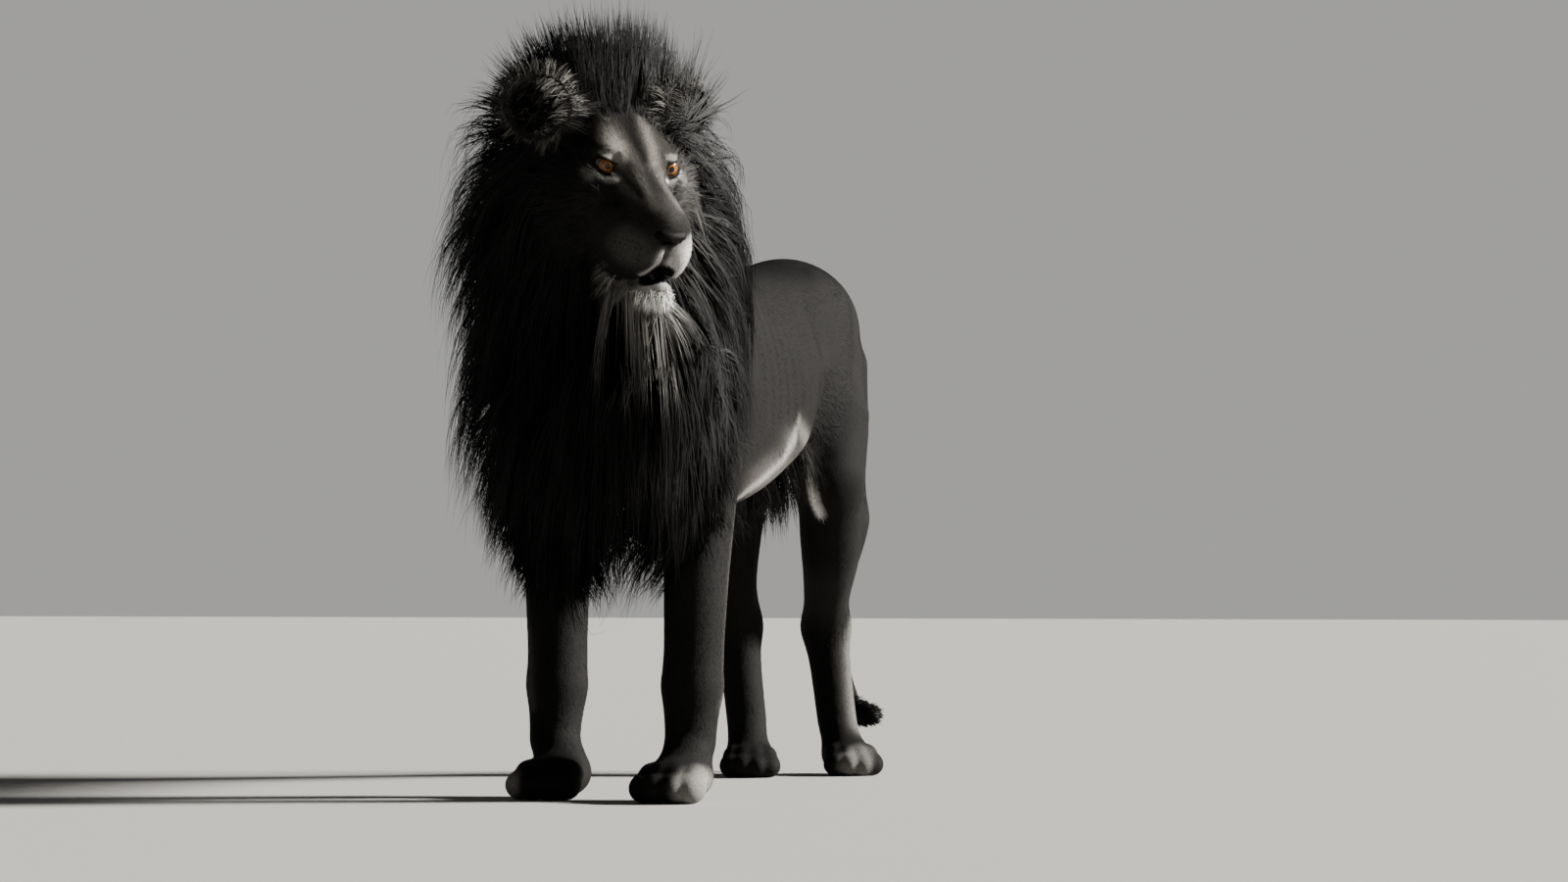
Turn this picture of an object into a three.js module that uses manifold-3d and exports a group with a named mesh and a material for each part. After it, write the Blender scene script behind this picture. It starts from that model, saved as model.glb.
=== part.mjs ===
// An adult male lion, standing, as a still life-size model. Millimetres, +Z up, +X to the lion's left,
// -Y the way its body faces. The origin is on the floor, under the middle of its bounding box.
// Every fleshy piece is a capsule that is wrapped on to a smooth union of balls and limbs, grown by the
// depth of its coat, and then parted from its neighbours by thin cuts.
import * as THREE from "three";
import { mergeVertices } from "three/addons/utils/BufferGeometryUtils.js";
import Module from "manifold-3d";

const wasm = await Module();
wasm.setup();

// ---- Driving dimensions ----
const FORE_LEFT = { side: 1, paw: [137, -550], wrist: [136, -478], elbow: [134, -428], toeOut: 0 };
const FORE_RIGHT = { side: -1, paw: [119, -490], wrist: [146, -422], elbow: [160, -388], toeOut: 2 };
const HIND_LEFT = { side: 1, paw: [74, 628], hock: [20, 696], knee: [110, 420], toeOut: 30 };
const HIND_RIGHT = { side: -1, paw: [84, 490], hock: [128, 563], knee: [106, 340], toeOut: -18 };
const PELVIS = [0, 500, 913]; // the middle of the hips
const EYES_MID = [100, -692, 1124]; // the point between the two eyes
const HEAD_YAW = 46.5; // degrees, towards the lion's left
const HEAD_PITCH = 25; // degrees, nose down
const EYE = { across: 62, forward: 7, up: 7, radius: 20 };
const EAR = { across: 144, back: 104, up: 68, width: 80, height: 76, depth: 40, wall: 12 };
const EAR_TURN = { back: 12, out: 26 }; // degrees
const GAP = 0.3; // between neighbouring pieces
const COAT = 8; // depth of the short coat
const LID = { width: 21, depth: 22, height: 15, slant: 8 }; // half sizes and degrees of the opening
// Where the pieces part: heights, or places along the body for the trunk.
const MANE_CUTS = [600, 1130];
const TRUNK_CUTS = [-70, 330];
const FORELEG_CUTS = [115, 590];
const HINDLEG_CUTS = [95, 300, 600];
const TAIL_CUTS = [175, 560];
const ORIGIN_SHIFT = [51, -21, 0]; // from the working origin to the middle of the bounding box

// ---- Forms: a ball is an ellipsoid, a limb is a chain of tapered rods ----
const rad = THREE.MathUtils.degToRad;

function ball(at, radii, turn = [0, 0, 0]) {
  const [a, b, c] = turn.map(rad);
  const matrix = new THREE.Matrix4().makeRotationFromEuler(new THREE.Euler(a, b, c, "ZYX"));
  const e = matrix.transpose().elements;
  return { kind: "ball", at, radii, e };
}

function limb(...points) {
  return { kind: "limb", points };
}

function ballDistance(f, x, y, z) {
  const e = f.e;
  const dx = x - f.at[0];
  const dy = y - f.at[1];
  const dz = z - f.at[2];
  const u = (e[0] * dx + e[4] * dy + e[8] * dz) / f.radii[0];
  const v = (e[1] * dx + e[5] * dy + e[9] * dz) / f.radii[1];
  const w = (e[2] * dx + e[6] * dy + e[10] * dz) / f.radii[2];
  const k0 = Math.hypot(u, v, w);
  const k1 = Math.hypot(u / f.radii[0], v / f.radii[1], w / f.radii[2]);
  return k1 < 1e-9 ? -Math.min(...f.radii) : (k0 * (k0 - 1)) / k1;
}

function limbDistance(f, x, y, z) {
  let best = Infinity;
  for (let i = 0; i + 1 < f.points.length; i++) {
    const [ax, ay, az, ra] = f.points[i];
    const [bx, by, bz, rb] = f.points[i + 1];
    const p = [x - ax, y - ay, z - az];
    const q = [bx - ax, by - ay, bz - az];
    const dot = p[0] * q[0] + p[1] * q[1] + p[2] * q[2];
    const t = Math.min(1, Math.max(0, dot / (q[0] ** 2 + q[1] ** 2 + q[2] ** 2)));
    const away = Math.hypot(p[0] - t * q[0], p[1] - t * q[1], p[2] - t * q[2]);
    best = Math.min(best, away - (ra + t * (rb - ra)));
  }
  return best;
}

// The smooth union of the forms, as a distance that is negative inside.
function union(forms, blend, grow = 0) {
  return (x, y, z) => {
    const d = forms.map((f) => (f.kind === "ball" ? ballDistance(f, x, y, z) : limbDistance(f, x, y, z)));
    const least = Math.min(...d);
    const sum = d.reduce((total, v) => total + Math.exp((least - v) / blend), 0);
    return least - blend * Math.log(sum) - grow;
  };
}

function mirrored(f) {
  if (f.kind === "limb") return limb(...f.points.map(([x, y, z, r]) => [-x, y, z, r]));
  const e = f.e.map((v, i) => ([1, 2, 4, 8].includes(i) ? -v : v));
  return { ...f, at: [-f.at[0], f.at[1], f.at[2]], e };
}
const pair = (f) => [f, mirrored(f)];

// ---- Wrapping and cutting ----
const HALVINGS = 14; // of a step, to find the surface
// A capsule along the axis, each of whose corners is moved out its own way to the surface of the field.
function wrap(field, axis, { around = 20, along = 12, cap = 4, side = [1, 0, 0], step = 5 } = {}) {
  const curve = new THREE.CatmullRomCurve3(axis.map((p) => new THREE.Vector3(...p)));
  const geometry = new THREE.CapsuleGeometry(1, 1, cap, around, along);
  const normal = geometry.getAttribute("normal");
  const position = geometry.getAttribute("position");
  const across = new THREE.Vector3(...side);
  for (let i = 0; i < position.count; i++) {
    const t = THREE.MathUtils.clamp(position.getY(i) + 0.5, 0, 1);
    const from = curve.getPoint(t);
    const ahead = curve.getTangent(t);
    const u = across.clone().addScaledVector(ahead, -across.dot(ahead)).normalize();
    const v = new THREE.Vector3().crossVectors(u, ahead);
    const way = new THREE.Vector3()
      .addScaledVector(u, normal.getX(i))
      .addScaledVector(ahead, normal.getY(i))
      .addScaledVector(v, normal.getZ(i))
      .normalize();
    const inside = (reach) => field(...from.clone().addScaledVector(way, reach).toArray()) < 0;
    let low = 0;
    while (inside(low + step)) low += step;
    let high = low + step;
    for (let n = 0; n < HALVINGS; n++) {
      const middle = (low + high) / 2;
      if (inside(middle)) low = middle;
      else high = middle;
    }
    position.setXYZ(i, ...from.addScaledVector(way, high).toArray());
  }
  return solidOf(geometry);
}

function solidOf(geometry) {
  const bare = geometry.clone();
  for (const name of Object.keys(bare.attributes)) if (name !== "position") bare.deleteAttribute(name);
  const merged = mergeVertices(bare, 1e-2);
  const index = [];
  for (let i = 0; i < merged.index.count; i += 3) {
    const [a, b, c] = [0, 1, 2].map((k) => merged.index.getX(i + k));
    if (a !== b && b !== c && c !== a) index.push(a, b, c);
  }
  const vertProperties = merged.attributes.position.array;
  const make = (corners) => {
    const triVerts = new Uint32Array(corners);
    return new wasm.Manifold(new wasm.Mesh({ numProp: 3, vertProperties, triVerts }));
  };
  const solid = make(index);
  return solid.volume() > 0 ? solid : make(index.reverse());
}

const BIG = 4000;
function slab(centre, normal, thickness) {
  const box = new THREE.BoxGeometry(BIG, BIG, thickness);
  box.applyQuaternion(new THREE.Quaternion().setFromUnitVectors(new THREE.Vector3(0, 0, 1), normal));
  box.translate(...centre);
  return solidOf(box);
}

// The part of a solid on the side of the plane through the point that the normal points to.
function keepSide(solid, point, way) {
  const normal = new THREE.Vector3(...way).normalize();
  const centre = normal.clone().multiplyScalar(GAP / 2 - BIG / 2).add(new THREE.Vector3(...point));
  return solid.subtract(slab(centre.toArray(), normal, BIG));
}

// Cuts a solid by planes, each a point and a way, into a row of pieces that runs the way the planes face.
function slices(solid, planes) {
  const made = [];
  let rest = solid;
  for (const [point, way] of planes) {
    made.push(keepSide(rest, point, way.map((v) => -v)));
    rest = keepSide(rest, point, way);
  }
  return [...made, rest];
}

const largest = (solid) => solid.decompose().reduce((a, b) => (a.volume() > b.volume() ? a : b));
const aboveFloor = (solid) => solid.subtract(slab([0, 0, -BIG / 2], new THREE.Vector3(0, 0, 1), BIG));
const less = (solid, ...others) => others.reduce((s, o) => s.subtract(o), solid);

// ---- The head's own frame: origin between the eyes, +X to its left, -Y along the muzzle ----
const headTurn = new THREE.Matrix4()
  .makeRotationZ(rad(HEAD_YAW))
  .multiply(new THREE.Matrix4().makeRotationX(rad(HEAD_PITCH)))
  .setPosition(...EYES_MID);
const inHead = (solid) => solid.transform([...headTurn.elements]);

// ---- Forms of the body ----
const TRUNK = [
  ball([0, -190, 785], [168, 330, 240], [4, 0, 0]), // rib cage
  ball([0, -320, 930], [95, 200, 105]), // withers
  ball([0, 130, 795], [156, 330, 176], [5, 0, 0]), // belly
  ...pair(ball([62, -30, 640], [80, 300, 80], [12, 0, 0])), // loose skin along the belly
  ball([0, 300, 908], [106, 300, 98]), // loin
  ball(PELVIS, [116, 210, 128]), // pelvis
  ball([0, 625, 886], [86, 110, 112]), // rump
];

const FOREPAW = { halfWidth: 60, halfLength: 90, halfHeight: 42, toe: 26 };
const HINDPAW = { halfWidth: 52, halfLength: 80, halfHeight: 37, toe: 23 };
const TOE_SPREAD = [-0.74, -0.27, 0.27, 0.74]; // across the paw, in half widths
function paw(px, py, { halfWidth, halfLength, halfHeight, toe }, toeOut) {
  const turn = rad(toeOut);
  const heel = py + 0.3 * halfLength;
  const turned = (x, y) => [
    px + x * Math.cos(turn) - (y - heel) * Math.sin(turn),
    heel + x * Math.sin(turn) + (y - heel) * Math.cos(turn),
  ];
  const toes = TOE_SPREAD.map((s) => {
    const at = turned(s * halfWidth, py - halfLength * (0.86 - 0.28 * s * s));
    return ball([...at, toe * 1.02], [toe, toe * 1.35, toe * 1.02], [0, 0, toeOut]);
  });
  return [ball([...turned(0, py), halfHeight], [halfWidth, halfLength, halfHeight], [0, 0, toeOut]), ...toes];
}

// A leg's forms, on the left side. The right leg is a mirror, with its own paw and joints.
function foreleg({ paw: [px, py], wrist: [wx, wy], elbow: [ex, ey], toeOut }) {
  return [
    ball([124, ey + 45, 870], [56, 120, 185], [-18, 0, 0]), // shoulder blade
    limb([120, ey - 60, 760, 76], [ex - 4, ey + 12, 620, 66]), // upper arm
    limb([ex, ey - 10, 610, 62], [(ex + wx) / 2, (ey + wy) / 2 - 12, 410, 53], [wx, wy, 210, 48]), // forearm
    limb([ex, ey + 30, 600, 60], [wx, wy + 22, 260, 40]), // back of the forearm
    limb([wx, wy, 200, 49], [wx, wy - 10, 105, 46], [px, py + 25, 62, 42]), // wrist and pastern
    ball([wx, wy + 34, 175], [24, 26, 30]), // carpal pad
    ...paw(px, py, FOREPAW, toeOut),
  ];
}

function hindleg({ side, paw: [px, py], hock: [hx, hy], knee: [kx, ky], toeOut }) {
  const turn = rad(toeOut);
  const heel = [px - 40 * Math.sin(turn), py + 40 * Math.cos(turn)];
  return [
    ball([84, 470, 770], [66, 162, 208], [14, 0, 0]), // thigh
    ball([78, 598, 735], [60, 100, 200], [-4, 0, 0]), // hamstring
    limb([90, 460, 720, 88], [kx, ky - 5, 610, 64]), // stifle
    limb([kx, ky + 15, 600, 64], [(kx + hx) / 2, 0.45 * ky + 0.55 * hy, 430, 52], [hx, hy - 10, 310, 40]),
    ball([0.6 * kx + 0.4 * hx, 0.42 * ky + 0.58 * hy, 520], [48, 84, 110], [22, 0, 0]), // calf
    limb([0.7 * kx + 0.3 * hx, 0.3 * ky + 0.7 * hy, 520, 46], [hx, hy + 14, 350, 28]), // heel tendon
    ball([hx, hy + 22, 305], [26, 28, 38]), // point of the hock
    limb([hx, hy, 290, 42], [...heel, 110, 40], [px, py + 10, 55, 37]), // cannon
    ...paw(px, py, HINDPAW, toeOut),
  ];
}

const TAIL = [
  [0, 690, 945],
  [0, 775, 890],
  [0, 815, 740],
  [2, 822, 540],
  [8, 812, 340],
  [25, 800, 200],
  [50, 795, 135],
];
const TAIL_TIP = [78, 790, 115];

// ---- Forms of the head, in its own frame ----
const SKULL = [
  ball([0, 105, 6], [98, 105, 82]), // cranium
  ball([0, 25, 10], [78, 70, 42]), // forehead
  ...pair(ball([54, 16, 22], [30, 32, 19])), // brows
  limb([0, 10, -2, 40], [0, -130, -62, 35]), // bridge of the nose
  ball([0, -110, -92], [50, 52, 44]), // muzzle
  ...pair(ball([32, -120, -103], [34, 44, 37])), // whisker pads
  ...pair(ball([80, 42, -48], [42, 76, 66])), // cheeks
  ...pair(ball([58, 4, -50], [38, 52, 36])), // below the eyes
  ...pair(ball([50, -48, -82], [36, 62, 38])), // corners of the mouth
  ball([0, 75, -95], [85, 90, 58]), // throat
];
const JAW = [
  ball([0, -108, -164], [36, 42, 34]), // chin
  limb([0, -90, -156, 36], [0, 0, -138, 56]),
];
const NOSE = [
  ball([0, -158, -60], [38, 24, 15]),
  ball([0, -163, -77], [24, 18, 17]),
];

// ---- Forms of the mane, out to its tips ----
const MANE = [
  ball([-24, -553, 1155], [250, 130, 238], [0, 0, 36]), // crown
  ball([10, -555, 1215], [214, 115, 206], [0, 0, 36]), // crest
  ball([-5, -470, 1060], [180, 150, 225]), // nape
  ball([-62, -525, 960], [282, 160, 290], [0, 0, 18]), // ruff
  ball([90, -635, 800], [115, 105, 190]), // beard
  ball([-50, -535, 640], [270, 196, 314], [0, 0, 8]), // chest
  ball([0, -400, 940], [196, 185, 215]), // shoulders
  ball([-8, -430, 745], [214, 155, 245]), // upper arms
];

const FRINGE = [
  limb([0, -240, 560, 62], [0, 120, 575, 52], [0, 400, 610, 50]),
  ball([0, 350, 545], [44, 110, 96]),
];

// ---- Wrapped solids, each made as itself and grown by the gap to cut its neighbours ----
const withGap = (make) => ({ solid: make(0), grown: make(GAP) });
const sides = [{ name: "left", side: 1 }, { name: "right", side: -1 }];

const eyes = sides.map(({ side }) =>
  withGap((grow) => {
    const sphere = new THREE.SphereGeometry(EYE.radius + grow, 12, 8);
    sphere.translate(side * EYE.across, -EYE.forward, EYE.up);
    return inHead(solidOf(sphere));
  }),
);

// The openings between the lids.
const lids = sides.map(({ side }) => {
  const opening = new THREE.SphereGeometry(1, 10, 6);
  opening.scale(LID.width, LID.depth, LID.height);
  opening.rotateY(rad(side * LID.slant));
  opening.translate(side * EYE.across, -EYE.forward - EYE.radius, EYE.up);
  return inHead(solidOf(opening));
});

const head = withGap((grow) => {
  const axis = [[0, 135, -20], [0, 30, -35], [0, -100, -84]];
  return inHead(wrap(union(SKULL, 12, COAT / 2 + grow), axis, { around: 22, along: 10, cap: 5 }));
});
const jaw = withGap((grow) => {
  const axis = [[0, -20, -140], [0, -106, -158]];
  return inHead(wrap(union(JAW, 10, COAT / 2 + grow), axis, { around: 14, along: 3, cap: 3 }));
});
const nose = withGap((grow) => {
  const axis = [[0, -152, -64], [0, -162, -68]];
  return inHead(wrap(union(NOSE, 5, grow), axis, { around: 12, along: 1, cap: 3 }));
});

// An ear is a cup: a ball, hollowed by a smaller one that is set forward.
const ears = sides.map(({ side }) =>
  withGap((grow) => {
    const cup = ([width, depth, height], forward) => {
      const geometry = new THREE.SphereGeometry(1, 14, 8);
      geometry.scale(width, depth, height);
      geometry.translate(0, -forward, 0);
      geometry.rotateX(rad(-EAR_TURN.back));
      geometry.rotateZ(rad(side * EAR_TURN.out));
      geometry.translate(side * EAR.across, EAR.back, EAR.up);
      return solidOf(geometry);
    };
    const { width, height, depth, wall } = EAR;
    const outer = cup([width + grow, depth + grow, height + grow], 0);
    const inner = cup([width - wall - grow, depth - grow, height - wall - grow], 2 * wall);
    return inHead(outer.subtract(inner));
  }),
);

const mane = withGap((grow) => {
  const axis = [[-20, -500, 1150], [-40, -515, 950], [-40, -515, 600]];
  return wrap(union(MANE, 30, grow), axis, { around: 22, along: 10, cap: 4, step: 12 });
});
const trunk = withGap((grow) => {
  const axis = [[0, -300, 820], [0, 100, 810], [0, 600, 880]];
  return wrap(union(TRUNK, 30, COAT + grow), axis, { around: 18, along: 10, cap: 4, step: 10 });
});

const forelegs = [FORE_LEFT, FORE_RIGHT].map((spec) =>
  withGap((grow) => {
    const { side, paw: [px, py], wrist: [wx, wy], elbow: [ex, ey] } = spec;
    const forms = side > 0 ? foreleg(spec) : foreleg(spec).map(mirrored);
    const axis = [[ex, ey - 10, 720], [ex, ey, 560], [wx, wy, 200], [px, py + 50, 60], [px, py - 30, 45]];
    const spine = axis.map(([x, y, z]) => [side * x, y, z]);
    return wrap(union(forms, 12, COAT / 2 + grow), spine, { around: 12, along: 14, cap: 3 });
  }),
);

const hindlegs = [HIND_LEFT, HIND_RIGHT].map((spec) =>
  withGap((grow) => {
    const { side, paw: [px, py], hock: [hx, hy], knee: [kx, ky], toeOut } = spec;
    const forms = side > 0 ? hindleg(spec) : hindleg(spec).map(mirrored);
    const turn = rad(toeOut);
    const axis = [
      [85, 520, 800],
      [kx - 5, ky + 80, 610],
      [0.5 * (kx + hx), 0.35 * ky + 0.65 * hy, 440],
      [hx, hy, 300],
      [px - 40 * Math.sin(turn), py + 40 * Math.cos(turn), 105],
      [px, py + 10, 45],
      [px + 20 * Math.sin(turn), py - 20, 40],
    ];
    const spine = axis.map(([x, y, z]) => [side * x, y, z]);
    return wrap(union(forms, 15, COAT / 4 + grow), spine, { around: 12, along: 18, cap: 3 });
  }),
);

const fringe = withGap((grow) =>
  wrap(union(FRINGE, 20, grow), [[0, -200, 560], [0, 380, 590]], { around: 10, along: 8, cap: 3 }),
);
const tail = withGap((grow) => {
  const rods = limb(...TAIL.map(([x, y, z], i) => [x, y, z, 29 - 2 * i]));
  const forms = [rods, ball(TAIL_TIP, [48, 34, 36])];
  return wrap(union(forms, 8, COAT / 2 + grow), [...TAIL, TAIL_TIP], { around: 8, along: 22, cap: 3 });
});

// ---- The lion, piece by piece ----
const looks = ({ color, roughness }) => new THREE.MeshStandardMaterial({ color, roughness, metalness: 0 });
const DARK_COAT = looks({ color: 0x2e2d2d, roughness: 0.85 });
const MANE_HAIR = looks({ color: 0x151414, roughness: 0.8 });
const NOSE_LEATHER = looks({ color: 0x2a1d1c, roughness: 0.5 });
const AMBER_EYE = looks({ color: 0xb06a1c, roughness: 0.1 });

const lion = new THREE.Group();
function add(name, solid, material) {
  const { vertProperties, triVerts } = largest(solid).getMesh();
  const geometry = new THREE.BufferGeometry();
  geometry.setAttribute("position", new THREE.BufferAttribute(new Float32Array(vertProperties), 3));
  geometry.setIndex(new THREE.BufferAttribute(new Uint32Array(triVerts), 1));
  geometry.computeVertexNormals();
  const mesh = new THREE.Mesh(geometry, material);
  mesh.name = name;
  mesh.position.set(...ORIGIN_SHIFT);
  lion.add(mesh);
}
const level = (z) => [[0, 0, z], [0, 0, 1]];

add("nose", nose.solid, NOSE_LEATHER);
add("head", less(head.solid, nose.grown, ...eyes.map((eye) => eye.grown), ...lids), DARK_COAT);
add("jaw", less(jaw.solid, head.grown, nose.grown), DARK_COAT);
sides.forEach(({ name }, i) => {
  add(`eye_${name}`, eyes[i].solid, AMBER_EYE);
  add(`ear_${name}`, less(ears[i].solid, head.grown), DARK_COAT);
});

// The mane in four, each about the head.
const maneCut = less(mane.solid, head.grown, jaw.grown, nose.grown, ...ears.map((ear) => ear.grown));
const [maneChest, maneNeck, maneCrown] = slices(maneCut, MANE_CUTS.map(level));
const [maneRight, maneLeft] = slices(maneNeck, [[[0, 0, 0], [1, 0, 0]]]);
add("mane_crown", maneCrown, MANE_HAIR);
add("neck_mane_left", maneLeft, MANE_HAIR);
add("neck_mane_right", maneRight, MANE_HAIR);
add("mane_chest", maneChest, MANE_HAIR);

const trunkCut = less(trunk.solid, mane.grown);
const along = (y) => [[0, y, 0], [0, 1, 0]];
slices(trunkCut, TRUNK_CUTS.map(along)).forEach((solid, i) => {
  add(["trunk_chest", "trunk_belly", "trunk_hips"][i], solid, DARK_COAT);
});

sides.forEach(({ name }, i) => {
  const leg = aboveFloor(less(forelegs[i].solid, mane.grown, trunk.grown));
  slices(leg, FORELEG_CUTS.map(level)).forEach((solid, k) => {
    add(`${["forepaw", "forearm", "upper_arm"][k]}_${name}`, solid, DARK_COAT);
  });
});
sides.forEach(({ name, side }, i) => {
  const leg = aboveFloor(less(hindlegs[i].solid, trunk.grown));
  const [hindpaw, foot, shank, thigh] = slices(leg, HINDLEG_CUTS.map(level));
  add(`hindpaw_${name}`, hindpaw, DARK_COAT);
  add(`hind_foot_${name}`, foot, DARK_COAT);
  add(`shank_${name}`, shank, DARK_COAT);
  add(`thigh_${name}`, keepSide(thigh, [0, 0, 0], [side, 0, 0]), DARK_COAT);
});

const legsGrown = [...forelegs, ...hindlegs].map((leg) => leg.grown);
add("belly_fringe", less(fringe.solid, mane.grown, trunk.grown, ...legsGrown), MANE_HAIR);
slices(aboveFloor(less(tail.solid, trunk.grown)), TAIL_CUTS.map(level)).forEach((solid, k) => {
  add(["tail_tuft", "tail_lower", "tail_upper"][k], solid, k === 0 ? MANE_HAIR : DARK_COAT);
});

export default lion;
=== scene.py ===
import math

import bmesh
import bpy
import numpy as np
from mathutils import Euler, Matrix, Vector


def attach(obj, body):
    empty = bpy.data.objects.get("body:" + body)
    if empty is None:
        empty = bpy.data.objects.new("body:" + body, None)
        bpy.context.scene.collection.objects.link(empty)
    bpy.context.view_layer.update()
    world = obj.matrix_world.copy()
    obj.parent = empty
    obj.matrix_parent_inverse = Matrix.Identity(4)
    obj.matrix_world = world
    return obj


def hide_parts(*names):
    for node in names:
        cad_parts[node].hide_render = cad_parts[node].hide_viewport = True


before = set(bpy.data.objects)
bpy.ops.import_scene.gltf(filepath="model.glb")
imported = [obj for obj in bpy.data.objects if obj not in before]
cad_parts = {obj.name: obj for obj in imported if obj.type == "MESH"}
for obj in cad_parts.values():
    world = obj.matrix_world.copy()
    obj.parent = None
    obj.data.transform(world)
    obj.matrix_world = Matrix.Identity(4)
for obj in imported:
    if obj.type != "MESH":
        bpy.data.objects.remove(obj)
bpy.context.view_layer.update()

# ---- The view ----
# A low camera looks slightly up at the lion, which stands on a plain pale floor. One big soft lamp shines
# from the side that the lion looks to, and a weak one fills the other side.
CAMERA_AT = Vector((2.816, -8.054, 0.389))
CAMERA_TURN = 18.0  # degrees about the upright, from looking along +Y
CAMERA_RISE = 1.85  # degrees above level
CAMERA_LENS = 101.7
FLOOR_HALF = 40.0
KEY_FROM = Vector((5.85, 2.55, 2.8))
KEY_SOFT = 10.0  # degrees that the key light is wide
KEY_POWER = 26.0
KEY_COLOUR = (1.0, 0.97, 0.92)
FILL_AT, FILL_AIM = Vector((-3.0, -8.0, 2.6)), Vector((0.0, -0.3, 0.7))
FILL_SIZE, FILL_POWER = 4.0, 14.0
STUDIO_HORIZON = (0.40, 0.395, 0.385, 1.0)
STUDIO_TOP = (0.07, 0.07, 0.072, 1.0)
STUDIO_EDGE = (0.12, 0.42)  # how high the pale horizon begins and ends to darken, as the sine of the angle
FLOOR_PALE = (0.24, 0.235, 0.225, 1.0)
FLOOR_SPECK = (0.20, 0.195, 0.185, 1.0)

camera_data = bpy.data.cameras.new("camera")
camera_data.lens = CAMERA_LENS
camera_data.clip_end = 200.0
camera = bpy.data.objects.new("camera", camera_data)
camera.location = CAMERA_AT
camera.rotation_euler = (math.radians(90 + CAMERA_RISE), 0.0, math.radians(CAMERA_TURN))
bpy.context.collection.objects.link(camera)
bpy.context.scene.camera = camera


def light(name, kind, power, at, aim):
    data = bpy.data.lights.new(name, kind)
    data.energy = power
    lamp = bpy.data.objects.new(name, data)
    lamp.location = at
    lamp.rotation_euler = (aim - at).to_track_quat("-Z", "Y").to_euler()
    bpy.context.collection.objects.link(lamp)
    return data


key = light("key", "SUN", KEY_POWER, KEY_FROM, Vector())
key.angle = math.radians(KEY_SOFT)
key.color = KEY_COLOUR
light("fill", "AREA", FILL_POWER, FILL_AT, FILL_AIM).size = FILL_SIZE

world = bpy.data.worlds.new("studio")
world.use_nodes = True
bpy.context.scene.world = world


class Socket:
    """An output of a shader node, with the sums that the materials below use."""

    def __init__(self, tree, link):
        self.tree = tree
        self.link = link

    def _math(self, operation, first, second):
        return self.tree.node("ShaderNodeMath", {"operation": operation}, {0: first, 1: second})

    def __add__(self, other):
        return self._math("ADD", self, other)

    def __radd__(self, other):
        return self._math("ADD", other, self)

    def __sub__(self, other):
        return self._math("SUBTRACT", self, other)

    def __rsub__(self, other):
        return self._math("SUBTRACT", other, self)

    def __mul__(self, other):
        return self._math("MULTIPLY", self, other)

    def __rmul__(self, other):
        return self._math("MULTIPLY", other, self)

    def step(self, low, high):
        """0 below low and 1 above high, smooth between them."""
        settings = {"interpolation_type": "SMOOTHSTEP"}
        span = {"Value": self, "From Min": low, "From Max": high}
        return self.tree.node("ShaderNodeMapRange", settings, span)


class Finish:
    """A material or the studio's light, built up node by node around its one shader."""

    def __init__(self, name, owner=None, shader="Principled BSDF", **fixed):
        self.material = owner or bpy.data.materials.new(name)
        self.material.use_nodes = True
        self.nodes = self.material.node_tree.nodes
        self.links = self.material.node_tree.links
        self.shader = self.nodes[shader]
        for socket, value in fixed.items():
            self.shader.inputs[socket.replace("_", " ")].default_value = value

    def node(self, kind, settings=None, inputs=None, output=0):
        made = self.nodes.new(kind)
        for key, value in (settings or {}).items():
            setattr(made, key, value)
        for key, value in (inputs or {}).items():
            self.feed(made.inputs[key], value)
        return Socket(self, made.outputs[output])

    def feed(self, socket, value):
        if isinstance(value, Socket):
            self.links.new(value.link, socket)
        else:
            socket.default_value = value

    def shade(self, **inputs):
        for socket, value in inputs.items():
            self.feed(self.shader.inputs[socket.replace("_", " ")], value)
        return self.material

    def place(self, scale=(1.0, 1.0, 1.0)):
        """Object coordinates, scaled."""
        at = self.node("ShaderNodeTexCoord", output="Object")
        return self.node("ShaderNodeMapping", {}, {"Vector": at, "Scale": scale})

    def noise(self, vector, scale, detail=3.0, roughness=0.55):
        sizes = {"Vector": vector, "Scale": scale, "Detail": detail, "Roughness": roughness}
        return self.node("ShaderNodeTexNoise", {}, sizes)

    def painted(self, name):
        """A colour that the mesh itself carries."""
        return self.node("ShaderNodeAttribute", {"attribute_name": name})

    def mix(self, factor, first, second, blend="MIX"):
        made = self.nodes.new("ShaderNodeMix")
        made.data_type = "RGBA"
        made.blend_type = blend
        self.feed(made.inputs[0], factor)
        self.feed(made.inputs[6], first)
        self.feed(made.inputs[7], second)
        return Socket(self, made.outputs[2])

    def bump(self, height, strength, distance):
        return self.node("ShaderNodeBump", {}, {"Height": height, "Strength": strength, "Distance": distance})


def new_object(name, mesh, material):
    piece = bpy.data.objects.new(name, mesh)
    bpy.context.collection.objects.link(piece)
    mesh.materials.append(material)
    return piece


studio = Finish("studio", world, "Background", Strength=1.0)
ray = studio.node("ShaderNodeTexCoord", output="Generated")
ray_height = studio.node("ShaderNodeSeparateXYZ", inputs={"Vector": ray}, output="Z")
studio.shade(Color=studio.mix(ray_height.step(*STUDIO_EDGE), STUDIO_HORIZON, STUDIO_TOP))

pale_floor = Finish("pale_floor", Roughness=0.9)
speckle = pale_floor.noise(pale_floor.place(), 3.0)
pale_floor.shade(Base_Color=pale_floor.mix(speckle * 0.1, FLOOR_PALE, FLOOR_SPECK))
floor_shape = bmesh.new()
bmesh.ops.create_grid(floor_shape, x_segments=1, y_segments=1, size=FLOOR_HALF)
floor_mesh = bpy.data.meshes.new("floor")
floor_shape.to_mesh(floor_mesh)
floor_shape.free()
floor = new_object("floor", floor_mesh, pale_floor.material)

# ---- The skin ----
# One closed skin over the whole body, from the lips to the tip of the tail. It is a smooth union of the
# same balls and limbs as the solids, without the depth of the coat, in millimetres from the middle line
# of the body, and it is set in the frame when it is done.
MM = 0.001
HOME = np.array((0.051, -0.021, 0.0))  # the body's middle line in the frame, in metres
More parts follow.
